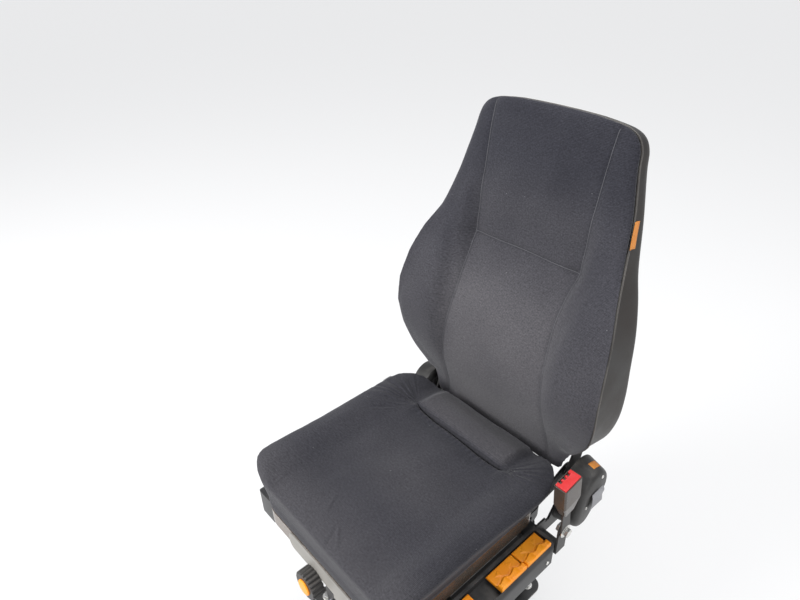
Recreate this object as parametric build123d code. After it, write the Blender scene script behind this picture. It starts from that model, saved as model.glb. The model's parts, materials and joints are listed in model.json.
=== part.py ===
from build123d import *
import math
import os

os.makedirs("parts", exist_ok=True)

# Air-sprung driver's seat of a city bus, in millimetres and degrees.
# X points to the sitter's left, the front faces -Y, Z is up.
# The origin is the centre of the four floor bolts, on the floor.

# Fits and clearances
RUN_GAP = 0.5
PIN_GAP = 0.3
SOFT_GAP = 0.3
PASS_GAP = 6.0

# Floor plate
PLATE_W = 360.0
PLATE_L = 440.0
PLATE_T = 6.0
PLATE_R = 24.0
BOLT_X = 155.0
BOLT_Y = 190.0
BOLT_D = 11.0
SUPPLY_HOLE_D = 90.0

# Slide rails
RAIL_INSET = 55.0
RAIL_W = 46.0
RAIL_H = 24.0
RAIL_WALL = 3.0
RAIL_L = 430.0
RAIL_SLOT = 22.0
RUNNER_WEB = 14.0
RUNNER_FOOT_H = 8.0
RUNNER_HEAD_W = 42.0
RUNNER_HEAD_T = 4.0

# Slide release bar
BAR_D = 12.0
BAR_REACH = 92.0
BAR_RISE = 12.0
BAR_LIFT = 16.0
BAR_BEND_R = 28.0
BAR_SIDE_COUNT = 16

# Suspension housing
PAN_W = 330.0
PAN_L = 400.0
PAN_R = 34.0
PAN_WALL = 3.0
BASE_PAN_H = 40.0
HEAD_PAN_H = 30.0
SUSPENSION_H = 281.5
BOOT_FOLDS = 7
BOOT_FOLD_DEPTH = 17.0
BOOT_RIM = 12.0

# Seat frame
CROSS_L = 40.0
CROSS_H = 18.0
CROSS_FRONT_Y = -140.0
CROSS_REAR_Y = 105.0
CHEEK_X = 201.0
CHEEK_T = 5.0
CHEEK_FRONT_Y = -198.0
CHEEK_BOTTOM_DROP = 12.0
CHEEK_H = 32.0
CHEEK_RISE_Y = 150.0
CHEEK_FOOT_Y = 232.0
EAR_R = 36.0

# Recliner axis, shared by the backrest and the cushion's tilt frame
# A rise is a height above the head pan's top
AXIS_Y = 235.0
AXIS_RISE = 82.0
PIN_D = 16.0
PIN_HEAD_D = 26.0
PIN_HEAD_T = 2.5
ARM_T = 5.0
ARM_GAP = 7.0
ARM_R = 24.0

# Tilt frame under the cushion
TILT_RAIL_W = 20.0
TILT_RAIL_H = 15.0
TILT_RAIL_RISE = 42.0
TILT_FRONT_Y = -230.0
TILT_REAR_Y = 122.0
TILT_BAR_W = 22.0
TILT_BAR_T = 12.0
TILT_EAR_R = 22.0

# Cushion
CUSHION_PAN_RISE = 60.0
CUSHION_PAN_INSET = 3.0
CUSHION_PAN_H = 26.0
CUSHION_PAN_T = 3.0
CUSHION_PAN_FRONT_Y = -284.0
CUSHION_PAN_REAR_Y = 112.0
CUSHION_PAN_R = 50.0
CUSHION_SKIRT = 12.0
SHOE_W = 34.0
SHOE_LIFT = 4.0
SHOE_L = 90.0
SHOE_Y = (-150.0, 30.0)
CUSHION_HALF = 244.0
CUSHION_FRONT_HALF = 236.0
CUSHION_WIDEST_Y = 50.0
CUSHION_FRONT_Y = -296.0
CUSHION_FRONT_R = 74.0
CUSHION_REAR_SETBACK = 42.0
CUSHION_REAR_RAKE = 34.0
CUSHION_HEEL_R = 130.0
CUSHION_SIDE_H = 78.0
CUSHION_TOP_RISE = 152.0
CUSHION_FRONT_RISE = 162.0
CUSHION_NOSE_R = 42.0
CUSHION_DISH = 22.0
CUSHION_DISH_HALF = 145.0
CUSHION_DISH_RUN = 50.0
CUSHION_EDGE_R = 26.0
CUSHION_REAR_R = 38.0

# Front apron and its knob
APRON_T = 3.0
APRON_H = 44.0
APRON_START_X = -96.0
APRON_WRAP = 78.0
APRON_END_R = 16.0
APRON_STEP_X = 47.0
APRON_STEP_DROP = 12.0
APRON_LIP = 10.0
KNOB_X = -12.0
KNOB_D = 62.0
KNOB_L = 26.0
KNOB_FLUTES = 20
KNOB_FLUTE_D = 5.0
KNOB_CAP_D = 34.0
KNOB_CAP_T = 4.0
KNOB_DROP = 62.0

# Backrest, measured up and forward from the recliner axis
BACK_TILT = 15.0
BACK_PANEL_HALF = 127.0
BACK_FLANK = 18.0
BACK_FLANK_SLOPE = 0.5
BACK_CREST = 26.0
COVER_LAYER = 14.0
FILL_LAP = 2.0
LINING_BEVEL = 8.0
SHELL_WALL = 4.0
SHELL_EDGE_R = 30.0
RIB_T = 4.0
RECLINER_ARM_END = 135.0
RECLINER_ARM_SET = 4.0
RECLINER_PAD_H = 30.0
RECLINER_PAD_W = 26.0

# Recliner covers and side consoles
COVER_R = 54.0
COVER_LIFT = 6.0
COVER_DEPTH = 50.0
COVER_DRAFT = 12.0
COVER_FOOT_Y = 204.0
COVER_FOOT_RISE = 34.0
COVER_FOOT_R = 40.0
COVER_EDGE_R = 10.0
COVER_EDGE_STEP = 3.0
CONSOLE_D = 58.0
CONSOLE_H = 64.0
CONSOLE_RISE = 48.0
CONSOLE_FRONT_Y = -264.0
CONSOLE_REAR_Y = 100.0
CONSOLE_WALL = 3.0
CONSOLE_EDGE_R = 16.0
TRAY_DEPTH = 15.0
TRAY_RIM = 7.0
TRAY_R = 4.0

# Control levers in the console tray
LEVER_L = 71.0
LEVER_W = 41.0
LEVER_T = 5.0
LEVER_RIDGE_W = 15.0
LEVER_RIDGE_H = 8.0
LEVER_RIDGE_EDGE = 3.5
LEVER_STEM_L = 24.0
LEVER_STEM_W = 12.0
LEVER_INSET = 10.0
LEVER_SINK = 6.0
LEVER_END_GAP = 4.0
LEVER_PAIR_GAP = 3.0
LEVER_GROUP_GAP = 49.0
LEVER_REAR_Y = 88.0

# Belt buckle and its anchor
ANCHOR_Y = 119.0
ANCHOR_RISE = 70.0
ANCHOR_BOLT_D = 12.0
ANCHOR_HEAD_AF = 17.0
ANCHOR_HEAD_T = 8.0
BRACKET_T = 5.0
BRACKET_W = 30.0
BRACKET_RISE = 6.0
STALK_X = 262.0
STALK_T = 4.0
STALK_W = 22.0
STALK_L = 70.0
BUCKLE_LEAN = 7.5
BUCKLE_L = 90.0
BUCKLE_W = 50.0
BUCKLE_T = 28.0
BUCKLE_NECK_W = 30.0
BUCKLE_NECK_T = 17.0
BUCKLE_SHOULDER = 0.4
BUTTON_H = 12.0
BUTTON_WALL = 2.0
BUTTON_PROUD = 2.0
BUCKLE_INSET = 22.0
BUCKLE_EDGE_R = 4.0
TONGUE_SLOT_T = 6.5
TONGUE_SLOT_W = 30.0

# Belt reel on the other side
REEL_L = 64.0
REEL_H = 78.0
REEL_D = 62.0
WEB_INSET = 9.0
REEL_Y = 112.0
REEL_R = 14.0
WEB_W = 46.0
WEB_T = 1.6
WEB_OUT = 12.0
TONGUE_W = 52.0
TONGUE_H = 54.0
TONGUE_T = 3.0
TONGUE_BLADE_W = 25.0

# Levels that follow
rail_top = PLATE_T + RAIL_H
runner_top = rail_top + RUN_GAP + RUNNER_HEAD_T
base_pan_top = runner_top + BASE_PAN_H
head_pan_top = runner_top + SUSPENSION_H
head_pan_bottom = head_pan_top - HEAD_PAN_H
rail_x = PAN_W / 2 - RAIL_INSET
axis_z = head_pan_top + AXIS_RISE
tilt_rail_z = head_pan_top + TILT_RAIL_RISE
pan_floor_z = head_pan_top + CUSHION_PAN_RISE
cushion_top_z = head_pan_top + CUSHION_TOP_RISE
cushion_front_top_z = head_pan_top + CUSHION_FRONT_RISE
cover_foot_z = head_pan_top + COVER_FOOT_RISE
console_top_z = head_pan_top + CONSOLE_RISE
anchor_z = head_pan_top + ANCHOR_RISE
bracket_floor_z = head_pan_top + BRACKET_RISE
reel_z = head_pan_top
cross_top = head_pan_top + CROSS_H
cheek_bottom = head_pan_top - CHEEK_BOTTOM_DROP
cheek_top = cheek_bottom + CHEEK_H
cheek_out = CHEEK_X + CHEEK_T
cushion_pan_half = CHEEK_X - CUSHION_PAN_INSET
cushion_rear = AXIS_Y - CUSHION_REAR_SETBACK
recliner_x = CHEEK_X - ARM_GAP - ARM_T
tilt_arm_x = recliner_x - ARM_GAP - ARM_T
tilt_rail_x = tilt_arm_x - TILT_RAIL_W
tilt_lap = TILT_REAR_Y - SHOE_Y[1] - SHOE_L / 2 - PASS_GAP
pad_floor = pan_floor_z + CUSHION_PAN_H + SOFT_GAP
web_x = -(cheek_out + REEL_D - WEB_INSET)
side_console_rear = REEL_Y - REEL_L / 2 - PASS_GAP
lever_pitch = LEVER_L + LEVER_PAIR_GAP
second_pair_y = LEVER_REAR_Y - 2 * LEVER_L - LEVER_PAIR_GAP - LEVER_GROUP_GAP
lever_rears = [LEVER_REAR_Y, LEVER_REAR_Y - lever_pitch, second_pair_y, second_pair_y - lever_pitch]
tray_rear = LEVER_REAR_Y + LEVER_END_GAP
tray_front = lever_rears[-1] - LEVER_L - LEVER_END_GAP


def write(name, shape):
    export_step(shape, os.path.join("parts", name + ".step"))


def block(x0, x1, y0, y1, z0, z1):
    size = Box(x1 - x0, y1 - y0, z1 - z0)
    return Pos((x0 + x1) / 2, (y0 + y1) / 2, (z0 + z1) / 2) * size


def slab(width, length, radius, z0, z1):
    return Pos(0, 0, z0) * extrude(RectangleRounded(width, length, radius), z1 - z0)


def from_side(face, x0, x1):
    """A face drawn in Y and Z, carried along X from x0 to x1."""
    return extrude(Plane.YZ.offset(x0) * face, x1 - x0)


def rod(diameter, x0, x1, y, z):
    return from_side(Pos(y, z) * Circle(diameter / 2), x0, x1)


def other_side(shape):
    return mirror(shape, Plane.YZ)


def hull(*faces):
    edges = [edge for face in faces for edge in face.edges()]
    return make_hull(edges)


# Floor plate and slide rails

def floor_plate():
    plate = slab(PLATE_W, PLATE_L, PLATE_R, 0, PLATE_T)
    holes = GridLocations(2 * BOLT_X, 2 * BOLT_Y, 2, 2) * Cylinder(BOLT_D / 2, 4 * PLATE_T)
    return plate - holes - Cylinder(SUPPLY_HOLE_D / 2, 4 * PLATE_T)


def fixed_rail():
    outer = block(-RAIL_W / 2, RAIL_W / 2, -RAIL_L / 2, RAIL_L / 2, PLATE_T, rail_top)
    half = RAIL_W / 2 - RAIL_WALL
    bore = block(-half, half, -RAIL_L, RAIL_L, PLATE_T + RAIL_WALL, rail_top - RAIL_WALL)
    slot = block(-RAIL_SLOT / 2, RAIL_SLOT / 2, -RAIL_L, RAIL_L, PLATE_T + RAIL_WALL, rail_top + 1)
    return outer - bore - slot


def moving_rail():
    length = PAN_L
    foot_half = RAIL_W / 2 - RAIL_WALL - RUN_GAP
    foot_top = rail_top - RAIL_WALL - RUN_GAP
    foot = block(-foot_half, foot_half, -length / 2, length / 2, foot_top - RUNNER_FOOT_H, foot_top)
    web = block(-RUNNER_WEB / 2, RUNNER_WEB / 2, -length / 2, length / 2, foot_top, rail_top + RUN_GAP)
    head = block(-RUNNER_HEAD_W / 2, RUNNER_HEAD_W / 2, -length / 2, length / 2,
                 rail_top + RUN_GAP, runner_top)
    return foot + web + head


def slide_bar():
    """A round bar from the base pan's nose, forward over one rail and back over the other."""
    z0 = runner_top + BAR_RISE
    y0 = -PAN_L / 2
    front = y0 - BAR_REACH
    points = [(rail_x, y0 + BAR_D, z0), (rail_x, front, z0 + BAR_LIFT),
              (-rail_x, front, z0 + BAR_LIFT), (-rail_x, y0 + BAR_D, z0)]
    path = FilletPolyline(*points, radius=BAR_BEND_R)
    section = Plane(origin=points[0], z_dir=path % 0) * RegularPolygon(BAR_D / 2, BAR_SIDE_COUNT)
    return sweep(section, path=path) - block(-PAN_W, PAN_W, y0, 0, 0, base_pan_top)


# Suspension: two pressed pans with a folded boot between them

def base_pan():
    tray = slab(PAN_W, PAN_L, PAN_R, runner_top, base_pan_top)
    inside = slab(PAN_W - 2 * PAN_WALL, PAN_L - 2 * PAN_WALL, PAN_R - PAN_WALL,
                  runner_top + PAN_WALL, base_pan_top + 1)
    return tray - inside


def head_pan():
    tray = slab(PAN_W, PAN_L, PAN_R, head_pan_bottom, head_pan_top)
    inside = slab(PAN_W - 2 * PAN_WALL, PAN_L - 2 * PAN_WALL, PAN_R - PAN_WALL,
                  head_pan_bottom - 1, head_pan_top - PAN_WALL)
    return tray - inside


def boot_ring(inset):
    """A rectangle whose corners are each cut into three flats."""
    x = PAN_W / 2 - inset
    y = PAN_L / 2 - inset
    radius = PAN_R - inset
    spots = []
    for sx, sy, turn in ((1, 1, 0), (-1, 1, 90), (-1, -1, 180), (1, -1, 270)):
        for step in (0, 30, 60, 90):
            angle = math.radians(turn + step)
            spots.append((sx * (x - radius) + radius * math.cos(angle),
                          sy * (y - radius) + radius * math.sin(angle)))
    return make_face(Polyline(*spots, close=True))


def boot():
    """A column with one waist-to-crest fold after another between the two pans."""
    z0 = runner_top + PAN_WALL + SOFT_GAP
    z1 = base_pan_top + BOOT_RIM
    z2 = head_pan_bottom - BOOT_RIM
    z3 = head_pan_top - PAN_WALL - SOFT_GAP
    crest = boot_ring(PAN_WALL + SOFT_GAP)
    waist = boot_ring(PAN_WALL + SOFT_GAP + BOOT_FOLD_DEPTH)
    pitch = (z2 - z1) / BOOT_FOLDS
    rings = [Pos(0, 0, z0) * crest]
    for fold in range(BOOT_FOLDS):
        low = z1 + fold * pitch
        rings += [Pos(0, 0, low) * crest, Pos(0, 0, low + pitch / 2) * waist]
    rings += [Pos(0, 0, z2) * crest, Pos(0, 0, z3) * crest]
    return loft(rings, ruled=True)


# Seat frame on the head pan

def cross_member(y):
    outer = block(-CHEEK_X, CHEEK_X, y - CROSS_L / 2, y + CROSS_L / 2, head_pan_top, cross_top)
    inner = block(-CHEEK_X - 1, CHEEK_X + 1, y - CROSS_L / 2 + PAN_WALL, y + CROSS_L / 2 - PAN_WALL,
                  head_pan_top + PAN_WALL, cross_top - PAN_WALL)
    return outer - inner


def cheek():
    """A flat plate along the frame that rises at the rear to the recliner's ear."""
    middle = (cheek_bottom + cheek_top) / 2
    run = Pos((CHEEK_FRONT_Y + CHEEK_FOOT_Y) / 2, middle) * RectangleRounded(
        CHEEK_FOOT_Y - CHEEK_FRONT_Y, CHEEK_H, 8)
    foot = Pos((CHEEK_RISE_Y + CHEEK_FOOT_Y) / 2, middle) * Rectangle(
        CHEEK_FOOT_Y - CHEEK_RISE_Y, CHEEK_H - 12)
    ear = Pos(AXIS_Y, axis_z) * Circle(EAR_R)
    face = run + hull(foot, ear)
    plate = from_side(face, CHEEK_X, cheek_out)
    return plate - rod(PIN_D, CHEEK_X - 1, cheek_out + 1, AXIS_Y, axis_z)


def recliner_pin():
    shank = rod(PIN_D, tilt_arm_x - RUN_GAP, cheek_out, AXIS_Y, axis_z)
    head = rod(PIN_HEAD_D, tilt_arm_x - RUN_GAP - PIN_HEAD_T, tilt_arm_x - RUN_GAP, AXIS_Y, axis_z)
    return shank + head


# Tilt frame that carries the cushion

def tilt_rail():
    z1 = tilt_rail_z + TILT_RAIL_H
    rail = block(tilt_rail_x, tilt_arm_x, TILT_FRONT_Y, TILT_REAR_Y, tilt_rail_z, z1)
    middle = tilt_rail_z + TILT_RAIL_H / 2
    root = Pos(TILT_REAR_Y - tilt_lap / 2, middle) * Rectangle(tilt_lap, TILT_RAIL_H)
    heel = Pos(TILT_REAR_Y - 2, middle) * Rectangle(4, TILT_RAIL_H)
    ear = Pos(AXIS_Y, axis_z) * Circle(TILT_EAR_R)
    arm = from_side(root + hull(heel, ear), tilt_arm_x, tilt_arm_x + ARM_T)
    return rail + arm - rod(PIN_D + 2 * PIN_GAP, tilt_arm_x - 1, tilt_arm_x + ARM_T + 1, AXIS_Y, axis_z)


def tilt_bar(y):
    return block(-tilt_arm_x, tilt_arm_x, y, y + TILT_BAR_W, tilt_rail_z - TILT_BAR_T, tilt_rail_z)


# Cushion: moulded pan with guide shoes, upholstered pad, front apron and knob

def cushion_plan(front, rear, half, front_half, nose_radius, heel_radius):
    """Plan outline: sides that draw in towards the front, and four rounded corners."""
    corners = [(-half, rear), (-half, CUSHION_WIDEST_Y), (-front_half, front), (front_half, front),
               (half, CUSHION_WIDEST_Y), (half, rear)]
    outline = make_face(Polyline(*corners, close=True))
    outline = fillet(outline.vertices().sort_by(Axis.Y)[:2], nose_radius)
    return fillet(outline.vertices().sort_by(Axis.Y)[-2:], heel_radius)


def pan_plan(inset):
    return cushion_plan(CUSHION_PAN_FRONT_Y + inset, CUSHION_PAN_REAR_Y - inset,
                        cushion_pan_half - inset, cushion_pan_half - inset,
                        CUSHION_PAN_R - inset, CUSHION_PAN_R / 2 - inset)


def cushion_pan():
    """A moulded pan: the floor and walls that hold the pad, and a skirt that hangs below the floor."""
    walls = Pos(0, 0, pan_floor_z - CUSHION_SKIRT) * extrude(pan_plan(0), CUSHION_PAN_H + CUSHION_SKIRT)
    inside = Pos(0, 0, pan_floor_z + CUSHION_PAN_T) * extrude(pan_plan(CUSHION_PAN_T), CUSHION_PAN_H)
    under = Pos(0, 0, pan_floor_z - 2 * CUSHION_SKIRT) * extrude(
        pan_plan(CUSHION_PAN_T), 2 * CUSHION_SKIRT)
    rear_gate = block(-tilt_arm_x - ARM_T - PASS_GAP, tilt_arm_x + ARM_T + PASS_GAP,
                      CUSHION_PAN_REAR_Y - 2 * CUSHION_PAN_T, CUSHION_PAN_REAR_Y + 1,
                      pan_floor_z - 2 * CUSHION_SKIRT, pan_floor_z)
    return walls - inside - under - rear_gate


def guide_shoes():
    """Two channels under the pan that slide along one tilt rail."""
    bottom = tilt_rail_z + SHOE_LIFT
    middle = (tilt_rail_x + tilt_arm_x) / 2
    inner = TILT_RAIL_W / 2 + RUN_GAP
    shoes = []
    for y in SHOE_Y:
        shoe = block(middle - SHOE_W / 2, middle + SHOE_W / 2, y - SHOE_L / 2, y + SHOE_L / 2,
                     bottom, pan_floor_z)
        groove = block(middle - inner, middle + inner, y - SHOE_L, y + SHOE_L, bottom - 1,
                       tilt_rail_z + TILT_RAIL_H + RUN_GAP)
        shoes.append(shoe - groove)
    return Compound(children=shoes)


def cushion_pad():
    """The pad: a plug in the pan, sides that lean out over it, and a shallow dish along its top."""
    gap = CUSHION_PAN_T + SOFT_GAP
    plug = Pos(0, 0, pan_floor_z + gap) * extrude(pan_plan(gap), CUSHION_PAN_H - gap + SOFT_GAP)
    low = cushion_plan(CUSHION_PAN_FRONT_Y, cushion_rear - CUSHION_REAR_RAKE, cushion_pan_half,
                       cushion_pan_half, CUSHION_PAN_R, CUSHION_HEEL_R / 2)
    wide = cushion_plan(CUSHION_FRONT_Y, cushion_rear, CUSHION_HALF, CUSHION_FRONT_HALF,
                        CUSHION_FRONT_R, CUSHION_HEEL_R)
    rear_crown = cushion_top_z + CUSHION_DISH
    front_crown = cushion_front_top_z + CUSHION_DISH
    flare = loft([Pos(0, 0, pad_floor) * low, Pos(0, 0, pad_floor + CUSHION_SIDE_H) * wide], ruled=True)
    upper = Pos(0, 0, pad_floor + CUSHION_SIDE_H) * extrude(wide, CUSHION_SIDE_H)
    rear_foot = (cushion_rear, pad_floor)
    front_foot = (CUSHION_FRONT_Y, pad_floor)
    over = FilletPolyline(rear_foot, (cushion_rear, rear_crown), (CUSHION_FRONT_Y, front_crown), front_foot,
                          radius=[CUSHION_REAR_R, CUSHION_NOSE_R])
    side = make_face([over, Line(front_foot, rear_foot)])
    slope = (cushion_front_top_z - cushion_top_z) / (cushion_rear - CUSHION_FRONT_Y)
    shoulder = CUSHION_DISH_HALF + CUSHION_DISH_RUN
    floor = -CUSHION_SIDE_H * 2
    edge = CUSHION_HALF + SOFT_GAP
    right = [(edge, floor), (edge, CUSHION_DISH), (shoulder, CUSHION_DISH), (CUSHION_DISH_HALF, 0)]
    left = [(-x, z) for x, z in reversed(right)]
    bends = [CUSHION_EDGE_R] + 4 * [2 * CUSHION_EDGE_R] + [CUSHION_EDGE_R]
    dish = FilletPolyline(*right, *left, radius=bends)
    section = make_face([dish, Line(left[-1], right[0])])
    along = Plane(origin=(0, cushion_rear, cushion_top_z), x_dir=(1, 0, 0), z_dir=(0, -1, slope))
    top = extrude(along * section, 2 * (cushion_rear - CUSHION_FRONT_Y), both=True)
    return plug + ((flare + upper) & from_side(side, -CUSHION_HALF - 1, CUSHION_HALF + 1) & top)


def front_apron():
    """The moulded handle panel under the pan's nose: a rounded left end, a step down, a turned-in lip."""
    outer = cushion_plan(CUSHION_PAN_FRONT_Y - APRON_T, CUSHION_PAN_REAR_Y, cushion_pan_half + APRON_T,
                         cushion_pan_half + APRON_T, CUSHION_PAN_R + APRON_T, CUSHION_PAN_R / 2)
    lip_edge = cushion_plan(CUSHION_PAN_FRONT_Y + APRON_LIP, CUSHION_PAN_REAR_Y,
                            cushion_pan_half - APRON_LIP, cushion_pan_half - APRON_LIP,
                            CUSHION_PAN_R - APRON_LIP, CUSHION_PAN_R / 2)
    top = pan_floor_z + CUSHION_PAN_H
    low = top - APRON_H - APRON_STEP_DROP
    skin = Pos(0, 0, low) * extrude(outer - pan_plan(0), APRON_H + APRON_STEP_DROP)
    lip = Pos(0, 0, low) * extrude(outer - lip_edge, APRON_T)
    upper_lip = Pos(0, 0, APRON_STEP_DROP) * lip
    ahead = CUSHION_PAN_FRONT_Y - 2 * APRON_T
    rear = CUSHION_PAN_FRONT_Y + APRON_WRAP
    tall = Pos((APRON_START_X + APRON_STEP_X) / 2, top - APRON_H / 2) * RectangleRounded(
        APRON_STEP_X - APRON_START_X + 2 * APRON_END_R, APRON_H, APRON_END_R)
    window = Plane(origin=(APRON_END_R, ahead, 0), x_dir=(1, 0, 0), z_dir=(0, -1, 0)) * tall
    left = extrude(window, -(rear - ahead)) & block(-CUSHION_HALF, APRON_STEP_X, ahead, rear, low, top)
    right = block(APRON_STEP_X, CUSHION_HALF, ahead, rear, low, top)
    return ((skin + upper_lip) & left) + ((skin + lip) & right)


knob_y = CUSHION_PAN_FRONT_Y - APRON_T
knob_z = pan_floor_z + CUSHION_PAN_H - KNOB_DROP


def facing_ahead(y):
    """The place of a round piece on the knob's axis, its face to the front."""
    return Plane(origin=(KNOB_X, y, knob_z), x_dir=(1, 0, 0), z_dir=(0, -1, 0)).location


def front_knob():
    body = Cylinder(KNOB_D / 2, KNOB_L)
    body = chamfer(body.edges().filter_by(GeomType.CIRCLE).sort_by(Axis.Z)[-1], 2.5)
    flute = Rot(0, 0, 45) * Box(KNOB_FLUTE_D, KNOB_FLUTE_D, 2 * KNOB_L)
    body -= [place * flute for place in PolarLocations(KNOB_D / 2, KNOB_FLUTES)]
    return facing_ahead(knob_y - KNOB_L / 2) * body


def knob_cap():
    body = Cylinder(KNOB_CAP_D / 2, KNOB_CAP_T)
    body = chamfer(body.edges().filter_by(GeomType.CIRCLE).sort_by(Axis.Z)[-1], 1.5)
    return facing_ahead(knob_y - KNOB_L - KNOB_CAP_T / 2) * body


# Backrest, drawn with X across, Y up the back and Z forward, all from the recliner axis

back_lean = math.radians(BACK_TILT)
back_ahead = (0, -math.cos(back_lean), math.sin(back_lean))
back_place = Plane(origin=(0, AXIS_Y, axis_z), x_dir=(1, 0, 0), z_dir=back_ahead).location

# Sections up the back: height and half width, then how far forward the rear wall, the pad's lining,
# the shell's rim, the bolsters' crest and the panel between them stand. The shell starts at the third row.
BACK_COLUMNS = ("height", "half", "rear", "lining", "rim", "bolster", "panel")
BACK_TABLE = [
    (12.0, 178.0, -60.0, 16.0, 24.0, 32.0, 32.0),
    (37.0, 192.0, -57.0, 16.0, 25.0, 38.0, 38.0),
    (76.0, 203.0, -44.0, 24.0, 40.0, 60.0, 58.0),
    (105.0, 224.0, -34.0, 26.0, 60.0, 82.0, 77.0),
    (136.0, 241.0, -24.0, 28.0, 81.0, 106.0, 96.0),
    (185.0, 255.0, -7.0, 33.0, 114.0, 136.0, 116.0),
    (242.0, 260.0, 12.0, 40.0, 140.0, 156.0, 126.0),
    (300.0, 258.0, 28.0, 50.0, 150.0, 160.0, 124.0),
    (367.0, 248.0, 31.0, 53.0, 144.0, 152.0, 108.0),
    (425.0, 232.0, 30.0, 52.0, 131.0, 140.0, 86.0),
    (482.0, 212.0, 28.0, 50.0, 106.0, 127.0, 84.0),
    (565.0, 194.0, 30.0, 52.0, 91.0, 119.0, 101.0),
    (647.0, 176.0, 38.0, 60.0, 93.0, 123.0, 117.0),
    (680.0, 171.0, 42.0, 64.0, 95.0, 124.0, 121.0),
    (700.0, 160.0, 44.0, 66.0, 97.0, 124.0, 123.0),
    (711.0, 140.0, 46.0, 67.0, 98.0, 121.0, 121.0),
    (716.0, 110.0, 47.0, 68.0, 98.0, 117.0, 117.0),
    (719.0, 80.0, 47.0, 68.0, 98.0, 112.0, 112.0),
]
BACK_SECTIONS = [dict(zip(BACK_COLUMNS, row)) for row in BACK_TABLE]
SHELL_SECTIONS = BACK_SECTIONS[2:]
CROWN_START = 690.0

# The lowest rib sits on the ends of the recliner arms
RIB_HEIGHTS = [RECLINER_ARM_END + RIB_T, 270.0, 400.0, 560.0]


def lowered(section, wall):
    """The same section for a body one wall inside: the crown's rows come down by that wall."""
    drop = wall if section["height"] > CROWN_START else 0
    return dict(section, height=section["height"] - drop)


def section_at(height):
    """A section between two rows of the table."""
    for low, high in zip(BACK_SECTIONS, BACK_SECTIONS[1:]):
        if low["height"] <= height <= high["height"]:
            share = (height - low["height"]) / (high["height"] - low["height"])
            return {name: low[name] + share * (high[name] - low[name]) for name in BACK_COLUMNS}


def across(height, right):
    """A face across the back at one height, from its right-hand points and their mirror images."""
    left = [(-x, z) for x, z in reversed(right)]
    place = Plane(origin=(0, height, 0), x_dir=(1, 0, 0), z_dir=(0, -1, 0))
    return place * make_face(Polyline(*right, *left, close=True))


def rear_corner(section, wall):
    """The shell's rear corner, drawn in by a wall, as three flats from the side to the rear."""
    half = section["half"] - wall
    rear = section["rear"] + wall
    radius = SHELL_EDGE_R - wall
    return [(half - radius * (1 - math.cos(turn)), rear + radius * (1 - math.sin(turn)))
            for turn in map(math.radians, (0, 30, 60, 90))]


def trough(section, wall, reach):
    """The shell's section, drawn in by a wall, open to a reach beyond the rim."""
    side = (section["half"] - wall, section["rim"] + reach)
    return across(section["height"], [side] + rear_corner(section, wall))


def back_shell():
    """An open dish: rear wall, side walls up to the rim, and ribs across its inside."""
    outer = loft([trough(section, 0, 0) for section in SHELL_SECTIONS], ruled=True)
    foot = SHELL_SECTIONS[0]
    below = dict(foot, height=foot["height"] - SHELL_EDGE_R)
    inside = [below] + [lowered(section, SHELL_WALL) for section in SHELL_SECTIONS]
    inner = loft([trough(section, SHELL_WALL, SHELL_EDGE_R) for section in inside], ruled=True)
    ribs = []
    for height in RIB_HEIGHTS:
        row = section_at(height)
        side = (row["half"] - SHELL_WALL / 2, row["lining"] - 2 * RUN_GAP)
        ribs.append(extrude(across(height, [side] + rear_corner(row, SHELL_WALL / 2)[1:]), RIB_T))
    return back_place * (outer - inner + ribs)


def back_pad():
    """A cover layer over panel and bolsters, and behind it the padding that fills the shell."""
    wrap = SHELL_WALL + SOFT_GAP
    covers = []
    fills = []
    for section in BACK_SECTIONS:
        half = section["half"]
        seam = section["rim"] + SOFT_GAP
        crest = section["bolster"]
        panel = section["panel"]
        rise = crest - seam
        panel_half = min(BACK_PANEL_HALF, half - 2 * BACK_CREST)
        flank = panel_half + BACK_FLANK + BACK_FLANK_SLOPE * (crest - panel)
        covers.append(across(section["height"], [
            (panel_half - COVER_LAYER, min(panel - COVER_LAYER, seam)), (flank - COVER_LAYER, seam),
            (half, seam), (half - BACK_CREST * 0.1, seam + rise * 0.45),
            (half - BACK_CREST * 0.45, seam + rise * 0.85), (half - BACK_CREST, crest),
            (flank, crest), (panel_half, panel)]))
        if section in SHELL_SECTIONS:
            row = lowered(section, wrap)
            top = seam + FILL_LAP
            inner = half - wrap
            fills.append(across(row["height"], [
                (panel_half, min(panel - COVER_LAYER / 2, top)), (flank, top), (inner, top),
                (inner, row["lining"] + LINING_BEVEL), (inner - LINING_BEVEL, row["lining"])]))
    return back_place * (loft(covers, ruled=True) + loft(fills, ruled=True))


def recliner_arm():
    ear = Circle(ARM_R)
    top = Pos(RECLINER_ARM_END - RECLINER_PAD_H / 2, -RECLINER_ARM_SET) * RectangleRounded(
        RECLINER_PAD_H, RECLINER_PAD_W, 6)
    plate = from_side(hull(ear, top), recliner_x, recliner_x + ARM_T)
    hole = from_side(Circle(PIN_D / 2 + PIN_GAP), recliner_x - 1, recliner_x + ARM_T + 1)
    return back_place * (plate - hole)


# Recliner covers, side consoles and levers

def recliner_cover():
    """A domed cover over the recliner, drawn in towards its outer face."""
    def outline(inset):
        axis = Pos(AXIS_Y, axis_z + COVER_LIFT) * Circle(COVER_R - inset)
        foot = Pos(COVER_FOOT_Y, cover_foot_z) * Circle(COVER_FOOT_R - inset)
        return hull(axis, foot)

    draft = COVER_DEPTH * math.tan(math.radians(COVER_DRAFT))
    brow = COVER_DEPTH - COVER_EDGE_R
    brow_inset = draft * brow / COVER_DEPTH
    rings = [(0, 0), (brow, brow_inset), (COVER_DEPTH - COVER_EDGE_STEP, brow_inset + COVER_EDGE_STEP),
             (COVER_DEPTH, brow_inset + COVER_EDGE_R)]
    faces = [Plane.YZ.offset(cheek_out + depth) * outline(inset) for depth, inset in rings]
    return loft(faces, ruled=True)


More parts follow.
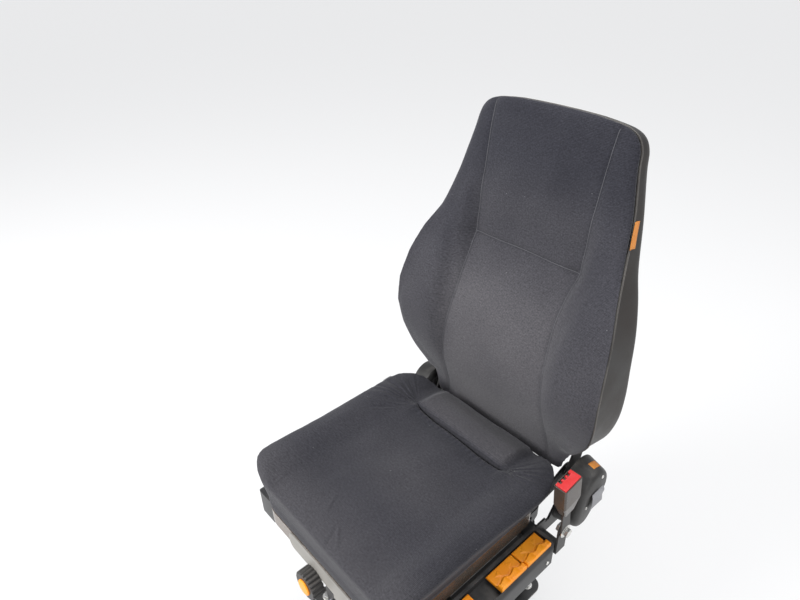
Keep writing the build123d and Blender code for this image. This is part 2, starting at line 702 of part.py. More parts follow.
def console_body(front, rear):
    """A moulded box on the cheek, rounded outside and hollow from below."""
    x1 = cheek_out + CONSOLE_D
    z0 = console_top_z - CONSOLE_H
    body = block(cheek_out, x1, front, rear, z0, console_top_z)
    outer = body.faces().sort_by(Axis.X)[-1]
    body = fillet(outer.edges(), CONSOLE_EDGE_R)
    roof = console_top_z - TRAY_DEPTH - CONSOLE_WALL
    hollow = block(cheek_out + CONSOLE_WALL, x1 - CONSOLE_WALL, front + CONSOLE_WALL, rear - CONSOLE_WALL,
                   z0 + CONSOLE_EDGE_R, roof)
    mouth = block(cheek_out + CONSOLE_WALL, x1 - CONSOLE_EDGE_R, front + CONSOLE_EDGE_R,
                  rear - CONSOLE_EDGE_R, z0 - 1, roof)
    return body - hollow - mouth


def lever_console():
    """The left console, with the tray that the levers lie in."""
    body = console_body(CONSOLE_FRONT_Y, CONSOLE_REAR_Y)
    tray = block(cheek_out + TRAY_RIM, cheek_out + CONSOLE_D - TRAY_RIM, tray_front, tray_rear,
                 console_top_z - TRAY_DEPTH, console_top_z + 10)
    tray = fillet(tray.edges().filter_by(Axis.Z), TRAY_R)
    return body - tray


def lever(rear):
    """One lever: a plate, the ridge along its outer half and the stem below it."""
    x0 = cheek_out + LEVER_INSET
    x1 = x0 + LEVER_W
    z0 = console_top_z - LEVER_SINK
    flat = z0 + LEVER_T
    ridge = flat + LEVER_RIDGE_H
    section = [(x0, z0), (x1, z0), (x1, ridge - LEVER_RIDGE_EDGE), (x1 - LEVER_RIDGE_EDGE, ridge),
               (x1 - LEVER_RIDGE_W + LEVER_RIDGE_EDGE, ridge), (x1 - LEVER_RIDGE_W, flat), (x0, flat)]
    face = Plane(origin=(0, rear, 0), x_dir=(1, 0, 0), z_dir=(0, -1, 0)) * make_face(
        Polyline(*section, close=True))
    body = extrude(face, LEVER_L)
    stem = block(x0 + 6, x0 + 6 + LEVER_STEM_W, rear - LEVER_L / 2 - LEVER_STEM_L / 2,
                 rear - LEVER_L / 2 + LEVER_STEM_L / 2, console_top_z - TRAY_DEPTH, z0)
    return body + stem


# Belt buckle, its anchor, and the reel on the other side

def buckle_bracket():
    """A strap bent up from the cheek, out under the anchor bolt and up behind it."""
    y0 = ANCHOR_Y - BRACKET_W / 2
    y1 = ANCHOR_Y + BRACKET_W / 2
    out = STALK_X - PIN_GAP
    inner = block(cheek_out, cheek_out + BRACKET_T, y0, y1, bracket_floor_z, console_top_z - BRACKET_T)
    floor = block(cheek_out, out, y0, y1, bracket_floor_z, bracket_floor_z + BRACKET_T)
    post = block(out - BRACKET_T, out, y0, y1, bracket_floor_z, anchor_z)
    crown = rod(BRACKET_W, out - BRACKET_T, out, ANCHOR_Y, anchor_z)
    hole = rod(ANCHOR_BOLT_D, out - BRACKET_W, out + BRACKET_W, ANCHOR_Y, anchor_z)
    return inner + floor + post + crown - hole


def buckle_bolt():
    out = STALK_X - PIN_GAP
    far = STALK_X + STALK_T + PIN_GAP
    shank = rod(ANCHOR_BOLT_D, out - BRACKET_T, far, ANCHOR_Y, anchor_z)
    head = from_side(Pos(ANCHOR_Y, anchor_z) * RegularPolygon(ANCHOR_HEAD_AF / 2, 6, major_radius=False),
                     far, far + ANCHOR_HEAD_T)
    nut = from_side(Pos(ANCHOR_Y, anchor_z) * RegularPolygon(ANCHOR_HEAD_AF / 2, 6, major_radius=False),
                    out - BRACKET_T - ANCHOR_HEAD_T, out - BRACKET_T)
    return shank + head + nut


buckle_place = Pos(0, ANCHOR_Y, anchor_z) * Rot(BUCKLE_LEAN, 0, 0)


def buckle_stalk():
    """A flat link with an eye, drawn straight up from the anchor and then leant forward."""
    eye = Circle(STALK_W / 2 + 3)
    end = Pos(0, STALK_L + BUCKLE_INSET) * Rectangle(STALK_W, 2)
    link = from_side(hull(eye, end), STALK_X, STALK_X + STALK_T)
    return link - from_side(Circle(ANCHOR_BOLT_D / 2 + PIN_GAP), STALK_X - 1, STALK_X + STALK_T + 1)


def buckle_body():
    """A case that widens from its neck, holds the link's end and has a well for the release button."""
    x0 = STALK_X + STALK_T / 2 - BUCKLE_T / 2
    shoulder = STALK_L + BUCKLE_L * BUCKLE_SHOULDER
    rings = [(STALK_L, BUCKLE_NECK_T, BUCKLE_NECK_W), (shoulder, BUCKLE_T, BUCKLE_W),
             (STALK_L + BUCKLE_L, BUCKLE_T, BUCKLE_W)]
    body = loft([Pos(STALK_X + STALK_T / 2, 0, z) * RectangleRounded(thick, wide, BUCKLE_EDGE_R)
                 for z, thick, wide in rings], ruled=True)
    well = block(x0 + BUTTON_WALL, x0 + BUCKLE_T - BUTTON_WALL, -BUCKLE_W / 2 + BUTTON_WALL,
                 BUCKLE_W / 2 - BUTTON_WALL, STALK_L + BUCKLE_L - BUTTON_H, STALK_L + BUCKLE_L + 1)
    return buckle_place * (body - well - buckle_stalk())


def buckle_button():
    """The release button in its well, open along its inner side where the tongue goes in."""
    x0 = STALK_X + STALK_T / 2 - BUCKLE_T / 2 + BUTTON_WALL + PIN_GAP
    x1 = x0 + BUCKLE_T - 2 * BUTTON_WALL - 2 * PIN_GAP
    half = BUCKLE_W / 2 - BUTTON_WALL - PIN_GAP
    z0 = STALK_L + BUCKLE_L - BUTTON_H
    body = block(x0, x1, -half, half, z0, z0 + BUTTON_H + BUTTON_PROUD)
    slot = block(x0 - 1, x0 + TONGUE_SLOT_T, -TONGUE_SLOT_W / 2, TONGUE_SLOT_W / 2,
                 z0 + BUTTON_WALL, z0 + BUTTON_H + BUTTON_PROUD + 1)
    return buckle_place * (body - slot)


def belt_reel():
    body = block(-cheek_out - REEL_D, -cheek_out, REEL_Y - REEL_L / 2, REEL_Y + REEL_L / 2,
                 reel_z, reel_z + REEL_H)
    body = fillet(body.edges().filter_by(Axis.X), REEL_R)
    mid = web_x
    mouth = block(mid - WEB_T / 2 - PIN_GAP, mid + WEB_T / 2 + PIN_GAP, REEL_Y - WEB_W / 2 - PIN_GAP,
                  REEL_Y + WEB_W / 2 + PIN_GAP, reel_z + REEL_H - WEB_OUT, reel_z + REEL_H + 1)
    return body - mouth


def belt_web():
    mid = web_x
    z1 = reel_z + REEL_H
    return block(mid - WEB_T / 2, mid + WEB_T / 2, REEL_Y - WEB_W / 2, REEL_Y + WEB_W / 2,
                 z1 - WEB_OUT, z1 + WEB_OUT)


def belt_tongue():
    """The latch plate parked on the reel: a holder on the webbing and a blade above it."""
    mid = web_x
    z0 = reel_z + REEL_H + WEB_OUT
    holder = block(mid - TONGUE_T, mid + TONGUE_T, REEL_Y - TONGUE_W / 2, REEL_Y + TONGUE_W / 2,
                   z0, z0 + TONGUE_H * 0.5)
    holder = fillet(holder.edges().filter_by(Axis.X), 6)
    blade = block(mid - TONGUE_T / 2, mid + TONGUE_T / 2, REEL_Y - TONGUE_BLADE_W / 2,
                  REEL_Y + TONGUE_BLADE_W / 2, z0 + TONGUE_H * 0.5, z0 + TONGUE_H)
    window = block(mid - 10, mid + 10, REEL_Y - TONGUE_BLADE_W / 4, REEL_Y + TONGUE_BLADE_W / 4,
                   z0 + TONGUE_H * 0.7, z0 + TONGUE_H * 0.84)
    return holder + blade - window


# Every sub-part: name and solid

PARTS = [
    ("floor_plate", floor_plate()),
    ("fixed_rail_left", Pos(rail_x, 0, 0) * fixed_rail()),
    ("fixed_rail_right", Pos(-rail_x, 0, 0) * fixed_rail()),
    ("moving_rail_left", Pos(rail_x, 0, 0) * moving_rail()),
    ("moving_rail_right", Pos(-rail_x, 0, 0) * moving_rail()),
    ("slide_bar", slide_bar()),
    ("base_pan", base_pan()),
    ("boot", boot()),
    ("head_pan", head_pan()),
    ("cross_member_front", cross_member(CROSS_FRONT_Y)),
    ("cross_member_rear", cross_member(CROSS_REAR_Y)),
    ("cheek_left", cheek()),
    ("cheek_right", other_side(cheek())),
    ("recliner_pin_left", recliner_pin()),
    ("recliner_pin_right", other_side(recliner_pin())),
    ("recliner_cover_left", recliner_cover()),
    ("recliner_cover_right", other_side(recliner_cover())),
    ("lever_console", lever_console()),
    ("side_console", other_side(console_body(CONSOLE_FRONT_Y, side_console_rear))),
    ("tilt_rail_left", tilt_rail()),
    ("tilt_rail_right", other_side(tilt_rail())),
    ("tilt_bar_front", tilt_bar(TILT_FRONT_Y)),
    ("tilt_bar_rear", tilt_bar(TILT_REAR_Y - TILT_BAR_W)),
    ("cushion_pan", cushion_pan()),
    ("guide_shoes_left", guide_shoes()),
    ("guide_shoes_right", other_side(guide_shoes())),
    ("cushion_pad", cushion_pad()),
    ("front_apron", front_apron()),
    ("front_knob", front_knob()),
    ("knob_cap", knob_cap()),
    ("back_shell", back_shell()),
    ("back_pad", back_pad()),
    ("recliner_arm_left", recliner_arm()),
    ("recliner_arm_right", other_side(recliner_arm())),
    ("buckle_bracket", buckle_bracket()),
    ("buckle_bolt", buckle_bolt()),
    ("buckle_stalk", buckle_place * buckle_stalk()),
    ("buckle_body", buckle_body()),
    ("buckle_button", buckle_button()),
    ("belt_reel", belt_reel()),
    ("belt_web", belt_web()),
    ("belt_tongue", belt_tongue()),
]
PARTS += [("lever_" + str(number + 1), lever(rear)) for number, rear in enumerate(lever_rears)]

for name, shape in PARTS:
    write(name, shape)
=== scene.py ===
import json
import math

import bmesh
import bpy
import numpy as np
from mathutils import Matrix, Vector
from mathutils.bvhtree import BVHTree


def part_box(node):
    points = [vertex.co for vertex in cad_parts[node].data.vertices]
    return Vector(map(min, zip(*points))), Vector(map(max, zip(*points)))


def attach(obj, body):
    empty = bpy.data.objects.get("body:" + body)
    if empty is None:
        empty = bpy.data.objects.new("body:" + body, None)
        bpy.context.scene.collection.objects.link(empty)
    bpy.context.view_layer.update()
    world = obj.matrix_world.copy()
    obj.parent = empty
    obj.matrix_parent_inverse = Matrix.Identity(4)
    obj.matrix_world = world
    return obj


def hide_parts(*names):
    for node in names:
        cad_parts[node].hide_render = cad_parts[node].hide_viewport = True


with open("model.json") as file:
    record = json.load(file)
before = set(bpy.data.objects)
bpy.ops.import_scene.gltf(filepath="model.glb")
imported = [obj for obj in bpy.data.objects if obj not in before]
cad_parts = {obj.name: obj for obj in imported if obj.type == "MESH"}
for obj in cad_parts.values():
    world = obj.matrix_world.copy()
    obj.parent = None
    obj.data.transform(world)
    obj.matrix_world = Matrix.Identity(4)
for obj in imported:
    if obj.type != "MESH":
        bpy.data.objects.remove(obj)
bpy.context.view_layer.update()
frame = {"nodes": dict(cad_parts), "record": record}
nodes = frame["nodes"]
record = frame["record"]
SLOT_OF = {part["node"]: part["material_slot"] for part in record["subparts"]}
BODY_OF = {node: body for body, names in record["behaviour"]["bodies"].items() for node in names}
JOINTS = {joint["name"]: joint for joint in record["behaviour"]["joints"]}

# Camera of the photograph: place in metres, angles in degrees, focal length in pixels of an 800 wide image
CAMERA_PLACE = (0.645, -0.620, 1.428)
CAMERA_YAW = 49.18
CAMERA_PITCH = 32.61
CAMERA_ROLL = 1.66
FOCAL_PIXELS = 617.1
IMAGE_WIDTH = 800
SENSOR_WIDTH = 36.0

# World axes, and each side of the seat as a sign of X
UPWARD = (0, 0, 1)
SIDEWAYS = np.array([1.0, 0.0, 0.0])
SIDES = (-1, 1)

# The backrest's own frame: X across, U up the back, F forward, from the recliner axis
AXIS = np.array(JOINTS["backrest_recline"]["pos_m"], dtype=float)
LEAN = math.radians(15)

# The buckle's own frame: Z straight up the stalk, from its anchor bolt
ANCHOR = np.array(JOINTS["buckle_pivot"]["pos_m"], dtype=float)
BUCKLE_LEAN = math.radians(7.5)

# Rows up the backrest: height, half width, rear wall and rim, in metres
HEIGHT, HALF, REAR, RIM = range(4)
BACK_ROWS = 0.001 * np.array([
    (12, 178, -60, 24),
    (37, 192, -57, 25),
    (76, 203, -44, 40),
    (105, 224, -34, 60),
    (136, 241, -24, 81),
    (185, 255, -7, 114),
    (242, 260, 12, 140),
    (300, 258, 28, 150),
    (367, 248, 31, 144),
    (425, 232, 30, 131),
    (482, 212, 28, 106),
    (565, 194, 30, 91),
    (647, 176, 38, 93),
    (680, 171, 42, 95),
    (700, 160, 44, 97),
    (711, 140, 46, 98),
    (716, 110, 47, 98),
    (719, 80, 47, 98),
])

# Moulded shell: its rows start above the recliner arms; wall, rear corner radius and crown in metres, the
# heights between which its inner wall drops below the top, and how finely its rows are divided
SHELL_ROWS = BACK_ROWS[2:]
SHELL_WALL = 0.004
SHELL_CORNER = 0.030
SHELL_CROWN = 0.003
SHELL_TOP = (0.680, 0.700)
SHELL_STEPS = 6

# The shell's two closing rows: share of the last half width, and rise above the last row in metres
SHELL_CLOSING = ((0.5, 0.0012), (0.0, 0.0015))

# Piping: radius, and how far it stands out from the rim's line and behind it, in metres
PIPING_RADIUS = 0.0023
PIPING_OUT = 0.0006
PIPING_BACK = 0.0012

# Meshes: distances under which points merge and edges go, in metres, the angle under which faces are one
# flat, and a direction just off the vertical, along which no path runs
MERGE_DISTANCE = 2e-6
SLIVER_EDGE = 1e-6
FLAT_ANGLE = math.radians(0.8)
NEARLY_UP = (0.03, 0.05, 1.0)

# Cloth simulation: frames, and the settings of a light, stretchy and well pressed cover
FRAMES = 20
CLOTH_SETTINGS = {
    "quality": 5, "mass": 0.3, "tension_stiffness": 15, "compression_stiffness": 15,
    "shear_stiffness": 8, "bending_stiffness": 0.8, "use_pressure": True, "uniform_pressure_force": 4.0,
}

DRAWN_IN = 0.005
MOST_SWELL = 0.022
EASED_BEFORE = 3
EASED_AFTER = 6

# The cushion's cover: size of its squares, mean swell, and edge below the pan's top, in metres
CUSHION_SQUARE = 0.0055
CUSHION_SWELL = 0.0065
CUSHION_TUCKED_UNDER = 0.004

# Bands above the pan's top, in metres: where the cover comes free of the pan, where its top begins, and
# where its left side is drawn in fully
FREE_BAND = np.array((0.004, 0.03))
TOP_BAND = np.array((0.035, 0.06))
SIDE_BAND = np.array((0.0, 0.04))

# The cloth's UV map widens down the cushion's sides with the depth below its top over this length, in metres
CUSHION_DEPTH = 0.24

# The tuck across the cushion: its two ends on plan, its bow and waver, and where it fades beyond and before
# its ends, in metres
TUCK_ENDS = ((-0.124, 0.092), (0.128, 0.083))
TUCK_BOW = 0.004
TUCK_WAVER = 0.0012
TUCK_FADE_OUT = 0.010
TUCK_FADE_IN = 0.012

# The tuck's section from its line backwards: where the raised strip starts and ends and its rise, then the
# place, half width and depth of the sharp groove and of the shallow dip before it, in metres
STRIP_START = (-0.0008, 0.0046)
STRIP_END = (0.047, 0.100)
STRIP_RISE = 0.0108
GROOVE = (-0.0004, 0.0026, 0.0125)
DIP = (-0.010, 0.022, 0.0045)

# Points are drawn towards the tuck by a share within a half width, so that its mesh is fine enough
DRAW_SHARE = 0.66
DRAW_WIDTH = 0.013

# The strip's front hangs over the groove: place, half width and depth, in metres
OVERHANG = (0.0045, 0.0035, 0.0026)

# Half width of the painted shade in the tuck's groove, where the cloth is pinched, in metres
TUCK_SHADE_WIDTH = 0.0022

# Puckers along the tuck: pitch, height, place and half width, in metres
PUCKER_PITCH = 0.0125
PUCKER_HEIGHT = 0.0006
PUCKER_PLACE = -0.009
PUCKER_WIDTH = 0.009

# Folds that fan out of each end of the tuck: end, angle outwards, spread, reach in metres and count; the
# # seat's cloth darkens their hollows as painted shade
TUCK_FOLDS = (
    (TUCK_ENDS[0], math.radians(190), 0.70, 0.085, 52.0),
    (TUCK_ENDS[1], math.radians(18), 0.75, 0.060, 46.0),
)
FOLD_HEIGHT = 0.0026

# How far the cushion's left side is drawn in and its right side leans out, and over which X and Y the two
# set in, in metres
LEFT_DRAW = 0.010
LEFT_DRAW_X = (0.12, 0.24)
LEFT_DRAW_Y = (0.2, -0.1)
RIGHT_LEAN = 0.008
RIGHT_LEAN_X = (0.14, 0.24)

# Height of the loose cloth's slow waves before the tuck, how far from it they set in, and their height on
# the backrest, in metres
CUSHION_WAVE = 0.0014
CUSHION_WAVE_START = (0.02, -0.03)
BACK_WAVE = 0.0008

# Soft hollows and swells of the seat's top: centre and spread on plan, and height, in metres
HOLLOWS = (
    ((-0.075, 0.000), (0.060, 0.070), -0.0050),
    ((0.085, -0.010), (0.060, 0.070), -0.0050),
    ((0.010, -0.130), (0.050, 0.090), 0.0035),
    ((-0.110, -0.170), (0.060, 0.060), -0.0030),
)

# Short creases near the cushion's nose and middle: start and end on plan, and height, in metres
CREASE_WIDTH = 0.0022
CREASES = (
    ((0.010, -0.235), (0.055, -0.275), 0.0030),
    ((0.010, -0.235), (0.030, -0.285), -0.0022),
    ((-0.045, -0.200), (-0.020, -0.245), 0.0020),
    ((0.120, 0.030), (0.175, 0.010), -0.0016),
    ((0.090, 0.010), (0.160, -0.025), -0.0012),
    ((-0.150, 0.050), (-0.185, -0.010), -0.0014),
    ((-0.060, 0.030), (0.010, 0.018), -0.0010),
)

# The backrest's cover: size of its squares and mean swell, in metres, and how often its shape is eased
COVER_SQUARE = 0.0063
COVER_SWELL = 0.0060
COVER_EASED = 26

# How far the cover must face ahead to be free of the shell and to take dents, and how far up it comes free
FREE_FACING = (0.05, 0.45)
FRONT_FACING = (0.15, 0.45)
FREE_UP = (0.02, 0.06)

# How far the backrest's crest lies ahead of its axis, and the depth behind the crest over which the cloth's
# UV map widens, in metres
COVER_CREST = 0.16
COVER_DEPTH = 0.5

# Seams of the backrest's left half in X and U, in metres; the others mirror them
SHOULDER = (0.127, 0.446)
UPPER_SEAM = [SHOULDER, (0.127, 0.500), (0.128, 0.580), (0.130, 0.650), (0.132, 0.708)]
LOWER_SEAM = [SHOULDER, (0.122, 0.392), (0.122, 0.337), (0.126, 0.280), (0.130, 0.230), (0.137, 0.160),
              (0.142, 0.090), (0.145, 0.035)]
SEAMS = {
    "shoulder": [(-0.127, 0.446), (-0.060, 0.448), (0.0, 0.449), (0.060, 0.448), (0.127, 0.446)],
    "upper_left": UPPER_SEAM,
    "upper_right": [(-x, up) for x, up in UPPER_SEAM],
    "lower_left": LOWER_SEAM,
    "lower_right": [(-x, up) for x, up in LOWER_SEAM],
}

# A seam's dent: depth of the shoulder's and of the others, half width, the wider pull beside it and the
# dimple at the shoulder's ends, in metres, then how dark the painted shade along a seam is and its half width
SHOULDER_DENT = 0.0030
SEAM_DENT = 0.0022
DENT_WIDTH = 0.0065
PULL_DEPTH = 0.0012
PULL_WIDTH = 0.022
DIMPLE_DEPTH = 0.0070
DIMPLE_WIDTH = 0.019
SEAM_SHADE = 0.30
SEAM_SHADE_WIDTH = 0.0038

# Folds that fan out of each end of the shoulder seam: end, angle outwards, spread, reach in metres and
# count, and their height in metres
SHOULDER_FAN = (SHOULDER, 0.0, 0.8, 0.055, 24)
SHOULDER_FOLDS = 0.0012

# The cord in each seam: radius, and how far its middle lies below the cover, in metres
THREAD_RADIUS = 0.0007
THREAD_SUNK = 0.0001

# The cover's lip over the shell's edge: how far inside the rim it starts and how wide it is, how far it
# reaches past the rim and stands above it, and the little more that its whole edge rises, in metres
LIP_START = 0.007
LIP_WIDTH = 0.025
LIP_PAST = 0.0016
LIP_ABOVE = 0.0035
LIP_ROUND = 0.0015

# Where the lip shows: how far its points face ahead, that value once eased, how far up, and behind the rim
LIP_FACING = (0.05, 0.35)
LIP_EASED = (0.25, 0.6)
LIP_UP = (0.03, 0.09)
LIP_BEHIND = (0.02, 0.01)

# Levers, in metres: thickness below the flat and rounded rim, the finger ridge and its wave, the two
# arrowheads, each with its share of the length and the way it points, and the stem
LEVER_COLUMNS = 64
LEVER_ROWS = 88
LEVER_LIFT = 0.009
LEVER_FLAT = 0.005
LEVER_ROUND = 0.0022
RIDGE_INSET = 0.0158
RIDGE_FLANK = 0.0038
RIDGE_HEIGHT = 0.0082
RIDGE_WAVE = 0.0027
RIDGE_TURNS = 2.5
RIDGE_SADDLE = 0.30
RIDGE_GROOVE = (-0.0012, 0.0012, 0.0006)
ARROWS = ((0.27, -1), (0.73, 1))
ARROW_INSET = 0.0125
ARROW_HALF = 0.0062
ARROW_BACK = 0.005
ARROW_LENGTH = 0.011
ARROW_HEIGHT = 0.0012
ARROW_FLANK = 0.0006
ARROW_FOOT = (-0.0056, -0.0046)
STEM_INSET = (0.006, 0.018)
STEM_HALF = 0.012

# Folded boot: count of folds and steps in each, clearance to the pans, depth and sag of a fold and corner
# radius in metres, how full a crest is, how much a fold sharpens the corner, and where dust lies
BOOT_FOLDS = 7
FOLD_STEPS = 14
BOOT_CLEARANCE = 0.012
BOOT_FOLD_DEPTH = 0.0165
BOOT_SAG = 0.0035
BOOT_CORNER = 0.030
BOOT_CREST_POWER = 0.7
BOOT_CORNER_DRAW = 0.6
BOOT_DUSTY = (0.93, 1.0)

# Hex heads: radius at the corners and on top as shares of the flats, height of the chamfer as a share of the
# head, and the washer's thickness, its flat and its edge, in metres
CORNER_SHARE = 0.577
HEAD_TOP_SHARE = 0.50
CHAMFER_SHARE = 0.86
WASHER_THICK = 0.0016
WASHER_FLAT = 0.0013
WASHER_EDGE = 0.0004

# Fasteners: places and sizes in metres, profiles as heights and radii
BOLT_PATTERN = next(mount["dims"] for mount in record["mounts"] if mount["name"] == "floor_bolts")
FLOOR_BOLTS = [(side * BOLT_PATTERN["spacing_x_mm"] / 2000, end * BOLT_PATTERN["spacing_y_mm"] / 2000)
               for side in SIDES for end in SIDES]
FLOOR_BOLT_FLATS = 0.017
FLOOR_BOLT_HEAD = 0.0064
FLOOR_WASHER_RADIUS = 0.0125
ANCHOR_WASHER = [(0.0, 0.0150), (0.0012, 0.0150), (0.0015, 0.0146)]
ANCHOR_WASHER_INSET = 0.0096
CONSOLE_SCREWS = {-1: (-0.236, -0.090, 0.045), 1: (-0.236, -0.090, 0.072)}
CONSOLE_SCREW_LEVEL = 0.330
CONSOLE_SCREW_RADIUS = 0.0042
COVER_SCREWS = ((0.250, 0.432), (0.206, 0.372))
COVER_SCREW_SUNK = 0.0004
COVER_SCREW_RADIUS = 0.0038
RIVETED_PANS = ("base_pan", "head_pan")
RIVET_ROW = (-0.150, -0.050, 0.050, 0.150)
RIVET_RADIUS = 0.0045
PLUG_ROWS = ((0.205, -0.0045), (0.600, 0.0305))
PLUG_SIDE = 0.105
PLUG_PROFILE = [(-0.002, 0.009), (0.0006, 0.009), (0.0014, 0.0080), (0.0016, 0.004)]

# Tags, in metres and the label's turn in degrees: the tab in the backrest's seam with its fold's place, width
# and height, the label round the recliner cover, and the hanging tag
TAB_UP = (0.568, 0.522)
TAB_FALL = (0.001, -0.021)
TAB_STAND = 0.0012
TAB_FOLD = (-0.001, 0.004, 0.0028)
TAB_WAVE = 0.0004
TAG_WALL = 0.0007
LABEL_ACROSS = np.array((0.020, 0.035))
LABEL_TURN = (4, 36)
LABEL_RADIUS = 0.054
LABEL_TAPER = math.radians(12)
LABEL_STAND = 0.0005
LABEL_CENTRE = 0.006
LABEL_WALL = 0.0004
HANGING_CORNER = (0.2575, 0.219, 0.401)
HANGING_ACROSS = (0.0015, 0.036, 0.006)
HANGING_DOWN = (0.002, -0.008, -0.043)
HANGING_BOW = (0.007, 0.0, 0.0)

# The buckle's mouth in its own frame, in metres
THROAT = ((0.2526, -0.0146, 0.150), (0.2588, 0.0146, 0.1566))
PRONG = ((0.2535, -0.0022, 0.156), (0.2588, 0.0022, 0.1612))
PRONG_PLACES = (-0.0055, 0.0055)
PRONG_EDGE = 0.0005

# Edge radii of the nodes that keep their own mesh, in metres, the one finish that isn't its slot's, and the
# rounding's segments and least angle in degrees
EDGES = {
    "floor_plate": 0.0008, "fixed_rail_left": 0.0006, "fixed_rail_right": 0.0006, "moving_rail_left": 0.0005,
    "moving_rail_right": 0.0005, "slide_bar": 0.0005, "base_pan": 0.0008, "head_pan": 0.0008,
    "cross_member_front": 0.001, "cross_member_rear": 0.001, "cheek_left": 0.0009, "cheek_right": 0.0009,
    "recliner_pin_left": 0.0008, "recliner_pin_right": 0.0008, "recliner_cover_left": 0.0025,
    "recliner_cover_right": 0.0025, "lever_console": 0.0016, "side_console": 0.0016,
    "tilt_rail_left": 0.0008, "tilt_rail_right": 0.0008, "tilt_bar_front": 0.001, "tilt_bar_rear": 0.001,
    "cushion_pan": 0.0012, "guide_shoes_left": 0.001, "guide_shoes_right": 0.001, "front_apron": 0.0012,
    "front_knob": 0.0008, "knob_cap": 0.0005, "recliner_arm_left": 0.0008, "recliner_arm_right": 0.0008,
    "buckle_bracket": 0.0008, "buckle_bolt": 0.0006, "buckle_stalk": 0.0006, "buckle_body": 0.0012,
    "buckle_button": 0.0006, "belt_reel": 0.0016, "belt_web": 0.0004, "belt_tongue": 0.0006,
}
OWN_FINISH = {"cushion_pan": "pan_coating"}
EDGE_SEGMENTS = 2
EDGE_ANGLE = 32

# Lamps: place, target, size in metres and power in watts
LAMPS = {
    "key": ((-1.5, -2.4, 2.3), (0, 0, 0.6), 1.6, 125),
    "fill": ((2.6, -1.2, 1.7), (0, 0, 0.5), 2.0, 24),
    "top": ((0.3, 0.7, 3.2), (0, 0, 0.6), 2.2, 48),
}
SKY = (0.93, 0.95, 1.0, 1)
SKY_STRENGTH = 0.60
FLOOR_SIZE = 40


# Helpers for arrays

def smooth_rows(table, steps):
    """Cubic Hermite curves through the table's rows, their slopes the central differences of the rows."""
    slopes = np.gradient(table, axis=0)
    at = np.linspace(0, len(table) - 1, (len(table) - 1) * steps + 1)
    low = np.minimum(at.astype(int), len(table) - 2)
    t = (at - low)[:, None]
    start = (2 * t ** 3 - 3 * t ** 2 + 1) * table[low] + (t ** 3 - 2 * t ** 2 + t) * slopes[low]
    end = (3 * t ** 2 - 2 * t ** 3) * table[low + 1] + (t ** 3 - t ** 2) * slopes[low + 1]
    return start + end


def soft_step(low, high, value):
    """0 up to low, 1 from high on, and 3t^2 - 2t^3 between them; with low over high it falls instead."""
    t = np.clip((value - low) / (high - low), 0, 1)
    return t * t * (3 - 2 * t)


def bell(value, width):
    """exp(-(v / w)^2)"""
    return np.exp(-(value / width) ** 2)


def dent(value, place, width, depth):
    """A bell of the given depth about a place."""
    return depth * bell(value - place, width)


def to_back(points):
    """World points as X, U and F of the backrest."""
    y = points[:, 1] - AXIS[1]
    z = points[:, 2] - AXIS[2]
    up = y * math.sin(LEAN) + z * math.cos(LEAN)
    ahead = -y * math.cos(LEAN) + z * math.sin(LEAN)
    return np.stack([points[:, 0], up, ahead], 1)


def from_back(points):
    """The backrest's X, U and F as world points."""
    x, up, ahead = np.moveaxis(np.asarray(points, dtype=float), -1, 0)
    y = AXIS[1] + up * math.sin(LEAN) - ahead * math.cos(LEAN)
    z = AXIS[2] + up * math.cos(LEAN) + ahead * math.sin(LEAN)
    return np.stack([x, y, z], -1)


def back_direction(ahead):
    """The backrest's F axis in the world, forwards or backwards."""
    return from_back((0, 0, ahead)) - from_back((0, 0, 0))


def from_buckle(points):
    """Points of the buckle's own frame as world points."""
    x, y, z = np.moveaxis(np.asarray(points, dtype=float), -1, 0)
    world_y = ANCHOR[1] + y * math.cos(BUCKLE_LEAN) - z * math.sin(BUCKLE_LEAN)
    world_z = ANCHOR[2] + y * math.sin(BUCKLE_LEAN) + z * math.cos(BUCKLE_LEAN)
    return np.stack([x, world_y, world_z], -1)


def rounded_loop(x0, x1, y0, y1, radius, steps):
    """A rectangle anticlockwise from its right rear corner, each corner a quarter circle of the radius."""
    corners = [(x1, y1, -1, -1), (x0, y1, 1, -1), (x0, y0, 1, 1), (x1, y0, -1, 1)]
    turns = np.linspace(0, math.pi / 2, steps + 1)
    spots = []
    for quarter, (x, y, sx, sy) in enumerate(corners):
        angles = turns + quarter * math.pi / 2
        spots.append(np.stack([x + sx * radius + radius * np.cos(angles),
                               y + sy * radius + radius * np.sin(angles)], 1))
    return np.concatenate(spots)


# Meshes

def add_piece(name, mesh):
    """A new object at the origin, in the scene's own collection."""
    piece = bpy.data.objects.new(name, mesh)
    bpy.context.scene.collection.objects.link(piece)
    return piece


def grid_quads(rows, columns, ring):
    """The quads of a grid of points, row by row; a ring joins the last column to the first."""
    across = columns if ring else columns - 1
    r, c = np.meshgrid(np.arange(rows - 1), np.arange(across), indexing="ij")
    a = r * columns + c
    b = r * columns + (c + 1) % columns
    return np.stack([a, b, b + columns, a + columns], -1).reshape(-1, 4)


def smooth_shaded(mesh, sharp):
    """Shades the mesh smooth except at edges over the sharp angle, in degrees."""
    mesh.shade_smooth()
    mesh.set_sharp_from_angle(angle=math.radians(sharp))


def close_up(mesh, sharp):
    """Merges doubles, turns the faces outwards and shades the mesh."""
    net = bmesh.new()
    net.from_mesh(mesh)
    bmesh.ops.remove_doubles(net, verts=net.verts, dist=MERGE_DISTANCE)
    bmesh.ops.dissolve_degenerate(net, edges=net.edges, dist=SLIVER_EDGE)
    bmesh.ops.recalc_face_normals(net, faces=net.faces)
    net.to_mesh(mesh)
    net.free()
    smooth_shaded(mesh, sharp)


